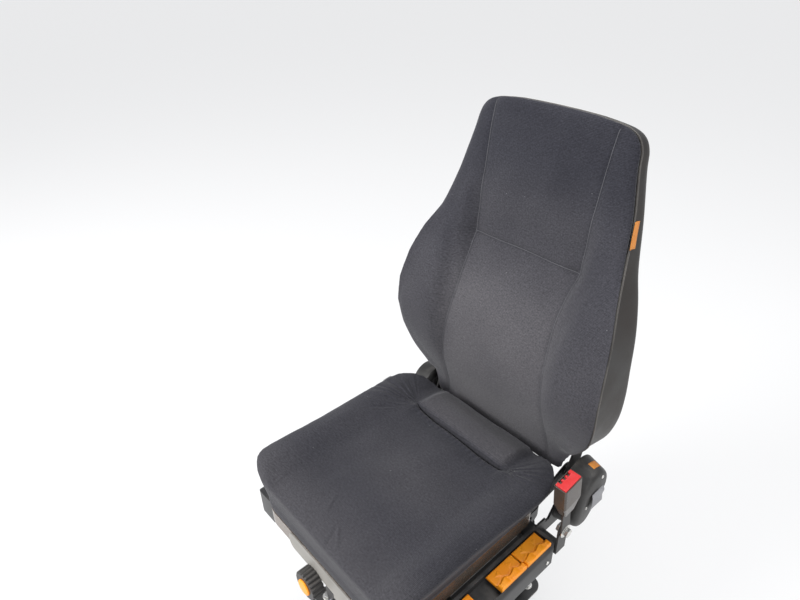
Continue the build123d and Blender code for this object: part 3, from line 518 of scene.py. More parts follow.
def merged_copy(name, node_name, flatten=False):
    """A node's mesh again with its doubles merged and, if asked, its flats joined and turned outwards."""
    mesh = nodes[node_name].data.copy()
    mesh.name = name
    net = bmesh.new()
    net.from_mesh(mesh)
    bmesh.ops.remove_doubles(net, verts=net.verts, dist=MERGE_DISTANCE)
    if flatten:
        bmesh.ops.dissolve_limit(net, angle_limit=FLAT_ANGLE, verts=net.verts, edges=net.edges)
        bmesh.ops.recalc_face_normals(net, faces=net.faces)
    net.to_mesh(mesh)
    net.free()
    return mesh


def grid_mesh(name, grids, ring=True, caps=True, sharp=35):
    """One mesh of one or more grids of points; each ring grid is capped at both ends."""
    points = []
    faces = []
    first = 0
    for grid in grids:
        rows, columns = grid.shape[:2]
        faces += (grid_quads(rows, columns, ring) + first).tolist()
        if caps:
            faces.append(list(range(first, first + columns)))
            faces.append(list(range(first + (rows - 1) * columns, first + rows * columns)))
        points.append(grid.reshape(-1, 3))
        first += rows * columns
    mesh = bpy.data.meshes.new(name)
    mesh.from_pydata(np.concatenate(points).tolist(), [], faces)
    close_up(mesh, sharp)
    return mesh


def tube_grid(path, radius, sides):
    """A circle carried along a path, its first axis square to the path and as level as can be."""
    path = np.asarray(path, dtype=float)
    ahead = np.gradient(path, axis=0)
    ahead /= np.linalg.norm(ahead, axis=1)[:, None]
    side = np.cross(ahead, NEARLY_UP)
    side /= np.linalg.norm(side, axis=1)[:, None]
    over = np.cross(side, ahead)
    angle = np.linspace(0, 2 * math.pi, sides, endpoint=False)
    ring = side[:, None] * np.cos(angle)[None, :, None] + over[:, None] * np.sin(angle)[None, :, None]
    return path[:, None] + radius * ring


def turned_grid(profile, place, axis, sides):
    """A profile of distances along and out from an axis, turned right round it."""
    axis = np.array(axis, dtype=float)
    side = np.cross(axis, (0.0, 0.0, 1.0) if abs(axis[2]) < 0.9 else (1.0, 0.0, 0.0))
    side /= np.linalg.norm(side)
    over = np.cross(axis, side)
    angle = np.linspace(0, 2 * math.pi, sides, endpoint=False)
    ring = side[None] * np.cos(angle)[:, None] + over[None] * np.sin(angle)[:, None]
    profile = np.array(profile, dtype=float)
    return np.array(place) + profile[:, 0, None, None] * axis + profile[:, 1, None, None] * ring[None]


def block_grid(low, high):
    """A box as two rings of four corners."""
    x0, y0, z0 = low
    x1, y1, z1 = high
    ring = np.array([(x0, y0), (x1, y0), (x1, y1), (x0, y1)])
    return np.stack([np.column_stack([ring, np.full(4, z)]) for z in (z0, z1)])


def thicken(piece, thickness):
    """Gives an open sheet a wall, half of it to each side."""
    wall = piece.modifiers.new("wall", "SOLIDIFY")
    wall.thickness = thickness
    wall.offset = 0


def round_edges(piece, width):
    """Rounds the edges over the sharp angle."""
    bevel = piece.modifiers.new("worn_edge", "BEVEL")
    bevel.width = width
    bevel.segments = EDGE_SEGMENTS
    bevel.limit_method = "ANGLE"
    bevel.angle_limit = math.radians(EDGE_ANGLE)
    bevel.harden_normals = True


def settle(piece, finish, body, *stands_for, slot=None):
    """Gives a piece its material, its body and the nodes that it stands for; the slot argument is not used.
    """
    piece.data.materials.clear()
    piece.data.materials.append(FINISHES[finish])
    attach(piece, body)
    if stands_for:
        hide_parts(*stands_for)
    return piece


def dressed(node_name, width):
    """A merged copy of a node's mesh with its flats joined and its edges rounded by the width."""
    name = "dressed_" + node_name
    mesh = merged_copy(name, node_name, flatten=True)
    smooth_shaded(mesh, EDGE_ANGLE)
    piece = add_piece(name, mesh)
    round_edges(piece, width)
    slot = SLOT_OF[node_name]
    return settle(piece, OWN_FINISH.get(node_name, slot), BODY_OF[node_name], node_name, slot=slot)


# Shader nodes

def new_finish(name, **values):
    """A material whose even values sit on the shader's own sockets."""
    skin = bpy.data.materials.new(name)
    skin.use_nodes = True
    shader = skin.node_tree.nodes["Principled BSDF"]
    for socket, value in values.items():
        shader.inputs[socket.replace("_", " ")].default_value = value
    return skin, skin.node_tree, shader


def node(tree, kind, inputs=(), **settings):
    """One shader node: its settings, then its inputs by name or number, as values or as sockets."""
    made = tree.nodes.new("ShaderNode" + kind)
    for name, value in settings.items():
        setattr(made, name, value)
    for key, value in dict(inputs).items():
        if isinstance(value, bpy.types.NodeSocket):
            tree.links.new(value, made.inputs[key])
        else:
            made.inputs[key].default_value = value
    return made


def object_place(tree):
    """Object coordinates, in metres because no piece is scaled."""
    return node(tree, "TexCoord").outputs["Object"]


def stretched(tree, place, scale, turn=(0, 0, 0)):
    """Coordinates turned and scaled along each axis."""
    return node(tree, "Mapping", {"Vector": place, "Scale": scale, "Rotation": turn}).outputs[0]


def noise(tree, place, scale, detail=3.0, rough=0.55):
    """Noise between 0 and 1, mostly close to a half."""
    made = node(tree, "TexNoise", {"Vector": place, "Scale": scale, "Detail": detail, "Roughness": rough})
    return made.outputs["Fac"]


def bands(tree, place, direction, scale, distortion, detail=2.0, detail_scale=1.0):
    """Wavy bands between 0 and 1 that follow one another along an axis."""
    made = node(tree, "TexWave", {"Vector": place, "Scale": scale, "Distortion": distortion,
                                  "Detail": detail, "Detail Scale": detail_scale},
                wave_type="BANDS", bands_direction=direction)
    return made.outputs["Fac"]


def painted(tree, name):
    """A value painted on the piece's points."""
    return node(tree, "Attribute", attribute_name=name).outputs["Fac"]


def maths(tree, operation, first, second=0.0, clamp=False):
    """One Math node."""
    made = node(tree, "Math", {0: first, 1: second}, operation=operation, use_clamp=clamp)
    return made.outputs[0]


def added(tree, first, second):
    """The sum of two values."""
    return maths(tree, "ADD", first, second)


def times(tree, first, second):
    """The product of two values."""
    return maths(tree, "MULTIPLY", first, second)


def between(tree, value, low, high, out_low=0.0, out_high=1.0):
    """The value from low to high carried on to the new ends, and held there beyond them."""
    made = node(tree, "MapRange", {"Value": value, "From Min": low, "From Max": high,
                                   "To Min": out_low, "To Max": out_high})
    return made.outputs[0]


def blend_colour(tree, factor, first, second):
    """The first colour where the factor is 0, the second where it is 1."""
    made = node(tree, "Mix", {"Factor": factor, 6: first, 7: second}, data_type="RGBA")
    return made.outputs[2]


def bumped(tree, shader, height, distance, strength):
    """Puts a height, in metres once multiplied by the distance, on the shader's normal."""
    made = node(tree, "Bump", {"Height": height, "Distance": distance, "Strength": strength})
    tree.links.new(made.outputs[0], shader.inputs["Normal"])


def colour(red, green, blue):
    """A colour with full cover."""
    return (red, green, blue, 1.0)


# Materials

# The colour of settled dust, and how much lighter a scratch is than the rubbed tone
DUST = colour(0.24, 0.22, 0.20)
RUBBED_GAIN = 2.2
RUBBED_LIFT = 0.02


def moulded(name, base, paler, grain, roughness, shine, dust, metal):
    """Moulded plastic: a fine grain, cloudy patches, faint rubbed spots and a little dust on top."""
    skin, tree, shader = new_finish(name, Specular_IOR_Level=shine, Metallic=metal)
    place = object_place(tree)
    cloud = noise(tree, place, scale=14.0, detail=4.0)
    fine = noise(tree, place, scale=grain, detail=2.0)
    drawn_out = stretched(tree, place, scale=(90, 700, 240), turn=(0.3, 0.2, 0.9))
    scuff = noise(tree, drawn_out, scale=1.0, detail=5.0, rough=0.7)
    tone = blend_colour(tree, between(tree, cloud, 0.35, 0.7), colour(*base), colour(*paler))
    scratched = between(tree, scuff, 0.66, 0.74, 0.0, 0.35)
    rubbed = colour(*(min(1.0, part * RUBBED_GAIN + RUBBED_LIFT) for part in paler))
    tone = blend_colour(tree, scratched, tone, rubbed)
    facing_up = node(tree, "SeparateXYZ", {0: node(tree, "NewGeometry").outputs["Normal"]}).outputs[2]
    settled = times(tree, between(tree, facing_up, 0.5, 1.0), between(tree, cloud, 0.45, 0.65, 0.0, dust))
    tone = blend_colour(tree, settled, tone, DUST)
    tree.links.new(tone, shader.inputs["Base Color"])
    gloss = added(tree, between(tree, cloud, 0.3, 0.7, roughness - 0.06, roughness + 0.08),
                  times(tree, scratched, 0.3))
    tree.links.new(gloss, shader.inputs["Roughness"])
    bumped(tree, shader, fine, distance=0.00012, strength=0.7)
    return skin


def coated_steel(name, base, roughness):
    """Powder coat: an orange-peel surface, with the coat thinned and dusty in patches."""
    skin, tree, shader = new_finish(name, Specular_IOR_Level=0.5, Metallic=0.0)
    place = object_place(tree)
    peel = noise(tree, place, scale=620.0, detail=2.0)
    cloud = noise(tree, place, scale=9.0, detail=5.0, rough=0.65)
    tone = blend_colour(tree, between(tree, cloud, 0.4, 0.75), base, colour(0.085, 0.08, 0.075))
    tree.links.new(tone, shader.inputs["Base Color"])
    tree.links.new(between(tree, cloud, 0.3, 0.7, roughness, roughness + 0.2), shader.inputs["Roughness"])
    bumped(tree, shader, peel, distance=0.0002, strength=0.6)
    return skin


def plated(name, base, roughness, stretch):
    """Zinc plate: long drawn lines and cloudy, duller tarnish."""
    skin, tree, shader = new_finish(name, Metallic=1.0)
    place = object_place(tree)
    drawn = noise(tree, stretched(tree, place, scale=stretch), scale=1.0, detail=4.0, rough=0.6)
    cloud = noise(tree, place, scale=45.0, detail=4.0)
    dull = colour(*(part * 0.55 for part in base[:3]))
    tone = blend_colour(tree, between(tree, cloud, 0.42, 0.72), base, dull)
    tree.links.new(tone, shader.inputs["Base Color"])
    tree.links.new(between(tree, cloud, 0.3, 0.75, roughness, roughness + 0.25), shader.inputs["Roughness"])
    bumped(tree, shader, drawn, distance=0.00008, strength=0.6)
    return skin


def fine_folds(tree, place, end, outward, spread, reach, count):
    """Thin folds about a point on plan: the sine of the angle about it, a bell over the spread and the
    reach, wavered by noise."""
    x, y, _ = node(tree, "SeparateXYZ", {0: place}).outputs
    dx = maths(tree, "SUBTRACT", x, end[0])
    dy = maths(tree, "SUBTRACT", y, end[1])
    away = maths(tree, "SQRT", added(tree, times(tree, dx, dx), times(tree, dy, dy)))
    angle = maths(tree, "SUBTRACT", maths(tree, "ARCTAN2", dy, dx), outward)
    wrapped = node(tree, "Math", {0: angle, 1: math.pi, 2: -math.pi}, operation="WRAP").outputs[0]
    fallen = added(tree, maths(tree, "POWER", maths(tree, "DIVIDE", wrapped, spread), 2.0),
                   maths(tree, "POWER", maths(tree, "DIVIDE", away, reach), 2.0))
    inside = maths(tree, "EXPONENT", times(tree, fallen, -1.0))
    waver = times(tree, noise(tree, place, scale=26.0, detail=2.0), 9.0)
    wave = maths(tree, "SINE", added(tree, times(tree, wrapped, count), waver))
    return times(tree, wave, inside)


def stray_lint(tree, lay):
    """1 on small specks of lint: the hearts of a few random cells of a Voronoi pattern."""
    turned = stretched(tree, lay, scale=(1, 1.5, 1), turn=(0, 0, 0.6))
    cells = node(tree, "TexVoronoi", {"Vector": turned, "Scale": 60.0, "Randomness": 1.0})
    chosen = node(tree, "SeparateXYZ", {0: cells.outputs["Color"]}).outputs[0]
    return times(tree, maths(tree, "LESS_THAN", cells.outputs["Distance"], 0.05),
                 maths(tree, "LESS_THAN", chosen, 0.06))


def upholstery(name, base, faded, worn_and_lit, folds=()):
    """Flat-woven cloth on its own UV map in metres: ribs one way, broken threads the other, slubs, a mottled
    grain, a faded tone, a lighter tone painted from a value for wear and for painted light, painted shade in
    the tuck's groove and along the seams, thin folds with painted shade in their hollows, and stray lint."""
    skin, tree, shader = new_finish(name, Roughness=0.93, Specular_IOR_Level=0.15, Sheen_Weight=0.14,
                                    Sheen_Roughness=0.45)
    lay = node(tree, "UVMap", uv_map="cloth_lay").outputs[0]
    place = object_place(tree)
    ribs = bands(tree, lay, "Y", scale=125.0, distortion=1.6, detail=3.0, detail_scale=2.5)
    threads = bands(tree, lay, "X", scale=210.0, distortion=2.5, detail=2.0, detail_scale=2.0)
    weave = times(tree, ribs, between(tree, threads, 0.0, 1.0, 0.5, 1.0))
    slub = noise(tree, stretched(tree, lay, scale=(110, 420, 1)), scale=1.0, detail=3.0)
    grain = noise(tree, lay, scale=270.0, detail=4.0, rough=0.72)
    cloud = noise(tree, place, scale=7.0, detail=4.0, rough=0.6)

    tone = blend_colour(tree, between(tree, cloud, 0.35, 0.68), base, faded)
    # The lighter tone where the cloth is worn and where light is painted on it, broken into patches
    patches = between(tree, cloud, 0.3, 0.7, 0.82, 1.12)
    paler = maths(tree, "MULTIPLY", painted(tree, "worn_and_lit"), patches, clamp=True)
    tone = blend_colour(tree, paler, tone, worn_and_lit)

    shade = times(tree, between(tree, weave, 0.0, 1.0, 0.84, 1.20),
                  between(tree, slub, 0.28, 0.72, 0.82, 1.18))
    shade = times(tree, shade, between(tree, grain, 0.28, 0.72, 0.62, 1.40))
    height = added(tree, weave, added(tree, slub, grain))
    # Each fold puts painted shade in its hollows and a ridge in the bump
    for fold in folds:
        thin = fine_folds(tree, place, *fold)
        shade = times(tree, shade, between(tree, thin, -1.0, 0.6, 0.74, 1.03))
        height = added(tree, height, times(tree, thin, 1.6))
    # Painted shade darkens the cloth in the tuck's groove and along the seams
    shade = times(tree, shade, between(tree, painted(tree, "crease_shade"), 0.0, 1.0, 1.0, 0.35))
    dark = node(tree, "Mix", {"Factor": 1.0, 6: tone, 7: shade}, data_type="RGBA", blend_type="MULTIPLY")

    lint = times(tree, stray_lint(tree, lay), 0.6)
    tone = blend_colour(tree, lint, dark.outputs[2], colour(0.42, 0.42, 0.44))
    tree.links.new(tone, shader.inputs["Base Color"])
    bumped(tree, shader, height, distance=0.0006, strength=0.6)
    return skin


def webbing(name):
    """Belt webbing: twill ribs along and across in object coordinates."""
    skin, tree, shader = new_finish(name, Roughness=0.6, Specular_IOR_Level=0.4, Sheen_Weight=0.2)
    place = object_place(tree)
    along = bands(tree, place, "Z", scale=110.0, distortion=0.5)
    over = bands(tree, place, "Y", scale=170.0, distortion=0.3)
    weave = times(tree, along, over)
    tone = blend_colour(tree, weave, colour(0.012, 0.012, 0.013), colour(0.045, 0.045, 0.048))
    tree.links.new(tone, shader.inputs["Base Color"])
    bumped(tree, shader, weave, distance=0.0004, strength=0.7)
    return skin


def folded_cloth(name):
    """Coated boot cloth: a fine cross weave under a matt coat, dusty towards the crest of each fold."""
    skin, tree, shader = new_finish(name, Roughness=0.85, Specular_IOR_Level=0.3)
    place = object_place(tree)
    weave = noise(tree, stretched(tree, place, scale=(900, 900, 1400)), scale=1.0, detail=1.0)
    cloud = noise(tree, place, scale=11.0, detail=5.0, rough=0.65)
    dusty = times(tree, painted(tree, "crest"), between(tree, cloud, 0.35, 0.65, 0.1, 0.8))
    tone = blend_colour(tree, dusty, colour(0.018, 0.018, 0.019), colour(0.095, 0.088, 0.08))
    tree.links.new(tone, shader.inputs["Base Color"])
    bumped(tree, shader, weave, distance=0.0003, strength=0.6)
    return skin


# Moulded finishes: base tone, rubbed tone, scale of the grain, roughness, shine, dust and share of metal
MOULDED = {
    "pan_coating": ((0.120, 0.094, 0.074), (0.175, 0.138, 0.110), 1500.0, 0.20, 0.90, 0.04, 0.45),
    "shell_plastic": ((0.010, 0.008, 0.0065), (0.020, 0.015, 0.012), 900.0, 0.44, 0.28, 0.08, 0.0),
    "console_plastic": ((0.022, 0.022, 0.023), (0.042, 0.041, 0.040), 1100.0, 0.46, 0.50, 0.25, 0.0),
    "black_plastic": ((0.016, 0.015, 0.014), (0.034, 0.032, 0.030), 1200.0, 0.45, 0.50, 0.25, 0.0),
    "black_gloss": ((0.032, 0.025, 0.021), (0.070, 0.054, 0.044), 1500.0, 0.28, 0.50, 0.08, 0.0),
    "grey_plastic": ((0.22, 0.21, 0.19), (0.30, 0.285, 0.26), 1000.0, 0.48, 0.50, 0.30, 0.0),
    "orange_plastic": ((1.0, 0.30, 0.006), (1.0, 0.38, 0.015), 1300.0, 0.40, 0.50, 0.0, 0.0),
    "red_plastic": ((0.46, 0.010, 0.012), (0.58, 0.02, 0.022), 1300.0, 0.35, 0.50, 0.02, 0.0),
    "thread": ((0.060, 0.060, 0.068), (0.10, 0.10, 0.11), 2500.0, 0.75, 0.50, 0.0, 0.0),
    "edge_piping": ((0.045, 0.040, 0.036), (0.12, 0.11, 0.10), 2000.0, 0.50, 0.50, 0.0, 0.0),
    "amber_tag": ((0.60, 0.20, 0.025), (0.75, 0.30, 0.05), 2200.0, 0.60, 0.50, 0.0, 0.0),
    "pale_tag": ((0.24, 0.24, 0.25), (0.40, 0.40, 0.41), 2200.0, 0.70, 0.50, 0.0, 0.0),
}
# Cloth tones: plain, faded, and a lighter one for wear and for painted light
CLOTH_TONES = (colour(0.024, 0.024, 0.031), colour(0.032, 0.032, 0.040), colour(0.090, 0.086, 0.092))
FINISHES = {name: moulded(name, *values) for name, values in MOULDED.items()}
FINISHES.update({
    "charcoal_fabric": upholstery("charcoal_fabric", *CLOTH_TONES),
    "seat_fabric": upholstery("seat_fabric", *CLOTH_TONES, TUCK_FOLDS),
    "black_steel": coated_steel("black_steel", colour(0.018, 0.018, 0.019), 0.38),
    "rail_steel": plated("rail_steel", colour(0.46, 0.46, 0.47), 0.36, (700, 18, 700)),
    "plated_steel": plated("plated_steel", colour(0.72, 0.71, 0.68), 0.22, (300, 300, 40)),
    "boot_rubber": folded_cloth("boot_rubber"),
    "belt_fabric": webbing("belt_fabric"),
})


# Backrest shell

def shell_line(rows, wall):
    """The shell's line at each row: rim, side, quarter-round rear corner and crowned rear, then mirrored."""
    half = np.maximum(rows[:, HALF] - wall, 0)[:, None]
    rear = (rows[:, REAR] + wall)[:, None]
    rim = rows[:, RIM][:, None]
    radius = np.minimum(SHELL_CORNER - wall, half)
    turn = np.linspace(0, math.pi / 2, 9)[None]
    side = np.linspace(0, 1, 6)[None, :-1]
    side_x = half + 0 * side
    side_f = rim + (rear + radius - rim) * side
    corner_x = half - radius * (1 - np.cos(turn))
    corner_f = rear + radius * (1 - np.sin(turn))
    inward = np.linspace(0, 1, 9)[None, 1:]
    rear_x = (half - radius) * (1 - inward)
    crown = SHELL_CROWN if wall == 0 else 0
    rear_f = rear - crown * (1 - (1 - inward) ** 2) + 0 * rear_x
    x = np.concatenate([side_x, corner_x, rear_x], 1)
    f = np.concatenate([side_f, corner_f, rear_f], 1)
    drop = wall * soft_step(*SHELL_TOP, rows[:, HEIGHT])[:, None]
    up = rows[:, HEIGHT][:, None] - drop + 0 * x
    right = np.stack([x, up, f], -1)
    left = right[:, ::-1][:, 1:] * (-1, 1, 1)
    return np.concatenate([right, left], 1)


def crowned_rows(steps):
    """The shell's smooth rows, and two more that draw the half width in to nothing along the top."""
    rows = smooth_rows(SHELL_ROWS, steps)
    closing = [rows[-1] * (1, share, 1, 1) + (rise, 0, 0, 0) for share, rise in SHELL_CLOSING]
    return np.concatenate([rows, closing])


def backrest_shell():
    """The moulded shell: an outer and an inner line joined in a ring and carried up the rows."""
    rows = crowned_rows(SHELL_STEPS)
    ring = np.concatenate([shell_line(rows, 0), shell_line(rows, SHELL_WALL)[:, ::-1]], 1)
    mesh = grid_mesh("backrest_shell", [from_back(ring)], caps=False, sharp=50)
    net = bmesh.new()
    net.from_mesh(mesh)
    foot = [edge for edge in net.edges if edge.is_boundary]
    bmesh.ops.contextual_create(net, geom=foot)
    net.to_mesh(mesh)
    net.free()
    return settle(add_piece("backrest_shell", mesh), "shell_plastic", "backrest", "back_shell")


def rim_line(steps):
    """The rim's line from the left foot over the top to the right foot, in X, U and F."""
    rows = crowned_rows(steps)
    right = rows[:, [HALF, HEIGHT, RIM]]
    left = right[::-1][1:] * (-1, 1, 1)
    return np.concatenate([right, left])


def edge_piping():
    """The bead in the joint of shell and cover: a tube along the rim's line, set out square to it."""
    line = rim_line(8)
    run = np.gradient(line[:, :2], axis=0)
    out = np.stack([run[:, 1], -run[:, 0]], 1) / (np.linalg.norm(run, axis=1)[:, None] + 1e-9)
    line = line + np.column_stack([out * PIPING_OUT, np.full(len(line), -PIPING_BACK)])
    mesh = grid_mesh("edge_piping", [tube_grid(from_back(line), PIPING_RADIUS, 10)])
    return settle(add_piece("edge_piping", mesh), "edge_piping", "backrest", slot="shell_plastic")


# Padded pieces

def baked(piece):
    """Puts the piece's mesh as its modifiers leave it in place of the old one."""
    graph = bpy.context.evaluated_depsgraph_get()
    mesh = bpy.data.meshes.new_from_object(piece.evaluated_get(graph))
    piece.modifiers.clear()
    piece.data = mesh


def points_of(mesh):
    """The mesh's points as rows of an array."""
    points = np.empty(len(mesh.vertices) * 3)
    mesh.vertices.foreach_get("co", points)
    return points.reshape(-1, 3)


def normals_of(mesh):
    """The normal at each point, as rows of an array."""
    normals = np.empty(len(mesh.vertices) * 3)
    mesh.vertices.foreach_get("normal", normals)
    return normals.reshape(-1, 3)


def move_points(mesh, points):
    """Puts the mesh's points where the rows say."""
    mesh.vertices.foreach_set("co", points.ravel())
    mesh.update()


def eased(mesh, values, rounds):
    """Each point's value drawn halfway to the mean of its neighbours, several times."""
    ends = np.empty(len(mesh.edges) * 2, dtype=int)
    mesh.edges.foreach_get("vertices", ends)
    a, b = ends.reshape(-1, 2).T
    count = np.bincount(np.concatenate([a, b]), minlength=len(values)).astype(float)[:, None]
    for _ in range(rounds):
        total = np.zeros_like(values)
        np.add.at(total, a, values[b])
        np.add.at(total, b, values[a])
        values = 0.5 * values + 0.5 * total / np.maximum(count, 1)
    return values


def remeshed(name, node_name, square, shape=None):
    """A merged copy of a soft node's mesh, shaped if asked, and remeshed into even squares."""
    mesh = merged_copy(name, node_name)
    if shape:
        move_points(mesh, shape(points_of(mesh)))
    piece = add_piece(name, mesh)
    even = piece.modifiers.new("even", "REMESH")
    even.mode = "VOXEL"
    even.voxel_size = square
    baked(piece)
    return piece


def simulated(piece, held):
    """The points of the piece as cloth blown up from inside for the frames, its held points pinned."""
    group = piece.vertex_groups.new(name="held")
    group.add(np.flatnonzero(held > 0.5).tolist(), 1.0, "REPLACE")
    cloth = piece.modifiers.new("swell", "CLOTH")
    for name, value in CLOTH_SETTINGS.items():
        setattr(cloth.settings, name, value)
    cloth.settings.effector_weights.gravity = 0
    cloth.settings.vertex_group_mass = "held"
    cloth.collision_settings.use_collision = False
    cloth.point_cache.frame_start = 1
    cloth.point_cache.frame_end = FRAMES
    for number in range(1, FRAMES + 1):
        bpy.context.scene.frame_set(number)
    graph = bpy.context.evaluated_depsgraph_get()
    swollen = points_of(bpy.data.meshes.new_from_object(piece.evaluated_get(graph)))
    piece.modifiers.clear()
    piece.vertex_groups.clear()
    bpy.context.scene.frame_set(1)
    return swollen


def swell(piece, held, rise):
    """The shape is eased, drawn in and blown up as cloth; each point's way is scaled to a mean rise and
    limited to the most m by m * tanh(way / m)."""
    mesh = piece.data
    start = eased(mesh, points_of(mesh), EASED_BEFORE)
    move_points(mesh, start)
    free = 1 - held[:, None]
    drawn = start - normals_of(mesh) * DRAWN_IN * free
    move_points(mesh, drawn)
    way = simulated(piece, held) - drawn
    length = np.linalg.norm(way, axis=1)[:, None] + 1e-9
    mean = float((length * free).sum() / free.sum())
    scale = min(1.0, rise / mean)
    way = way / length * MOST_SWELL * np.tanh(length * scale / MOST_SWELL)
    move_points(mesh, drawn + eased(mesh, way, EASED_AFTER))


def divided(piece):
    """Divides each face in four and smooths the shape."""
    finer = piece.modifiers.new("finer", "SUBSURF")
    finer.levels = 1
    finer.render_levels = 1
    baked(piece)
    piece.data.shade_smooth()


def lay_cloth(mesh, first, second):
    """The cloth_lay UV map in metres, from two values at each point."""
    corners = np.empty(len(mesh.loops), dtype=int)
    mesh.loops.foreach_get("vertex_index", corners)
    layer = mesh.uv_layers.new(name="cloth_lay")
    layer.uv.foreach_set("vector", np.stack([first[corners], second[corners]], 1).astype(np.float32).ravel())


def paint_value(mesh, name, values):
    """A named value at each point, which a material reads."""
    layer = mesh.attributes.new(name, "FLOAT", "POINT")
    layer.data.foreach_set("value", np.asarray(values, dtype=np.float32))


def fan(x, y, end, outward, spread, reach, count, seed):
    """Fine folds that run out from the end of a tuck: a cosine of the angle about the end, a bell over the
    spread and the reach, and nothing right at the end."""
    dx = x - end[0]
    dy = y - end[1]
    away = np.hypot(dx, dy)
    angle = np.arctan2(dy, dx) - outward
    angle = (angle + math.pi) % (2 * math.pi) - math.pi
    waver = 0.5 * np.sin(angle * 5 + seed) + 0.3 * np.sin(angle * 11 + 2 * seed)
    inside = bell(angle / spread, 1.0) * np.clip(away / (0.25 * reach), 0, 1) * bell(away / reach, 1.0)
    return inside * np.cos(count * angle + waver * 2.5)


def soft_waves(first, second):
    """Slow uneven waves of loose cloth, between -1 and 1: three sines whose phases bend each other."""
    slow = np.sin(first * 41 + 1.7 * np.sin(second * 23 + 0.6))
    cross = np.sin(second * 36 + 1.4 * np.sin(first * 29 + 2.1))
    fine = np.sin(first * 74 - second * 58 + 1.1 * np.sin(first * 47))
    return 0.45 * slow + 0.35 * cross + 0.20 * fine


# Seat cushion

def tuck_line(x):
    """The tuck's Y at each X, and how fully it shows there: 1 along it and 0 beyond its ends."""
    (x0, y0), (x1, y1) = TUCK_ENDS
    share = np.clip((x - x0) / (x1 - x0), 0, 1)
    line = y0 + (y1 - y0) * share - TUCK_BOW * np.sin(math.pi * share)
    line = line - TUCK_WAVER * np.sin(3 * math.pi * share)
    fade_in = soft_step(x0 - TUCK_FADE_OUT, x0 + TUCK_FADE_IN, x)
    fade_out = soft_step(x1 - TUCK_FADE_IN, x1 + TUCK_FADE_OUT, x)
    return line, fade_in * (1 - fade_out)


def tuck_section(across):
    """The height at each distance behind the tuck's line: a raised strip, less a sharp groove and a dip."""
    strip = STRIP_RISE * soft_step(*STRIP_START, across) * (1 - soft_step(*STRIP_END, across))
    return strip - dent(across, *GROOVE) - dent(across, *DIP)


def crease(x, y, start, end):
    """A narrow ridge along the line between two points, faded towards both of its ends."""
    run = np.array(end) - np.array(start)
    length = math.hypot(*run)
    along = ((x - start[0]) * run[0] + (y - start[1]) * run[1]) / length
    off = ((x - start[0]) * run[1] - (y - start[1]) * run[0]) / length
    faded = soft_step(0, 0.3 * length, along) * (1 - soft_step(0.7 * length, length, along))
    return bell(off, CREASE_WIDTH) * faded


def cushion_lift(x, y, far, across, fade):
    """How far the cushion's top rises: the tuck, puckers along it, fans of folds at its ends, slow waves
    before it, soft hollows and short creases, all added up."""
    lift = tuck_section(across) * fade
    pucker = np.cos(x * 2 * math.pi / PUCKER_PITCH + 2 * np.sin(x * 40))
    lift += PUCKER_HEIGHT * pucker * bell(across - PUCKER_PLACE, PUCKER_WIDTH) * fade
    for end, outward, spread, reach, count in TUCK_FOLDS:
        lift += FOLD_HEIGHT * fan(x, y, end, outward, spread, reach, 0.5 * count, 7 * spread)
    lift += CUSHION_WAVE * soft_waves(x + 0.3 * y, y) * soft_step(*CUSHION_WAVE_START, far)
    for centre, spread, depth in HOLLOWS:
        lift += depth * np.exp(-((x - centre[0]) / spread[0]) ** 2 - ((y - centre[1]) / spread[1]) ** 2)
    for start, end, depth in CREASES:
        lift += depth * crease(x, y, start, end)
    return lift


def cushion_wear_and_light(x, y, across, fade):
    """How much lighter the cushion's cloth is painted: worn and painted light on its nose and on the raised
    strip, worn where one sits, and darker with painted shade just before the tuck.
    """
    nose = 0.40 * soft_step(-0.16, -0.29, y)
    strip = 0.50 * soft_step(0.0, 0.010, across) * fade
    sat_on = 0.22 * bell(np.hypot((y + 0.07) / 0.07, (x - 0.02) / 0.11), 1.0)
    # Painted shade in the dip just before the tuck
    shade_before_tuck = 0.12 * bell(across + 0.02, 0.02) * fade
    return 0.16 + nose + strip + sat_on - shade_before_tuck


def seat_cushion():
    """The cushion: a swollen cover with a raised strip behind a sharp tuck, drawn in a little on its left
    side and leaning out on its right."""
    pan_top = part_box("cushion_pan")[1][2]

    def above_pan(points):
        return np.maximum(points, (-np.inf, -np.inf, pan_top - CUSHION_TUCKED_UNDER))

    piece = remeshed("seat_cushion", "cushion_pad", CUSHION_SQUARE, above_pan)
    held = 1 - soft_step(*(pan_top + FREE_BAND), points_of(piece.data)[:, 2])
    swell(piece, held, CUSHION_SWELL)
    divided(piece)
    mesh = piece.data
    x, y, z = points_of(mesh).T
    over = soft_step(*(pan_top + TOP_BAND), z)
    line, fade = tuck_line(x)
    far = y - line
    across = far * (1 - DRAW_SHARE * bell(far, DRAW_WIDTH) * fade * over)
    drawn_in = LEFT_DRAW * soft_step(*LEFT_DRAW_X, x) * soft_step(*(pan_top + SIDE_BAND), z)
    drawn_in = drawn_in * soft_step(*LEFT_DRAW_Y, y)
    leaning = RIGHT_LEAN * soft_step(*RIGHT_LEAN_X, -x) * over
    overhang = dent(across, *OVERHANG) * fade * over
    lift = cushion_lift(x, y, far, across, fade) * over
    move_points(mesh, np.stack([x - drawn_in - leaning, line + across - overhang, z + lift], 1))
    lay_cloth(mesh, x * (1 + (z.max() - z) / CUSHION_DEPTH), y + z)
    # How much lighter the cloth is painted, for wear and for light, half as much down its sides
    paler = cushion_wear_and_light(x, y, across, fade) * (0.5 + 0.5 * over)
    paint_value(mesh, "worn_and_lit", np.clip(paler, 0, 1))
    # Painted shade in the tuck's groove
    paint_value(mesh, "crease_shade", bell(across - GROOVE[0], TUCK_SHADE_WIDTH) * fade * over)
    settle(piece, "seat_fabric", "cushion", "cushion_pad", slot="charcoal_fabric")


# Backrest cover

def seam_curve(name, steps):
    """A seam's points joined by smooth curves."""
    return smooth_rows(np.array(SEAMS[name]), steps)


def facing_ahead(mesh):
    """How far each point's normal leans to the backrest's front: 1 straight ahead, 0 sideways or back."""
    return np.clip(normals_of(mesh) @ back_direction(1), 0, 1)


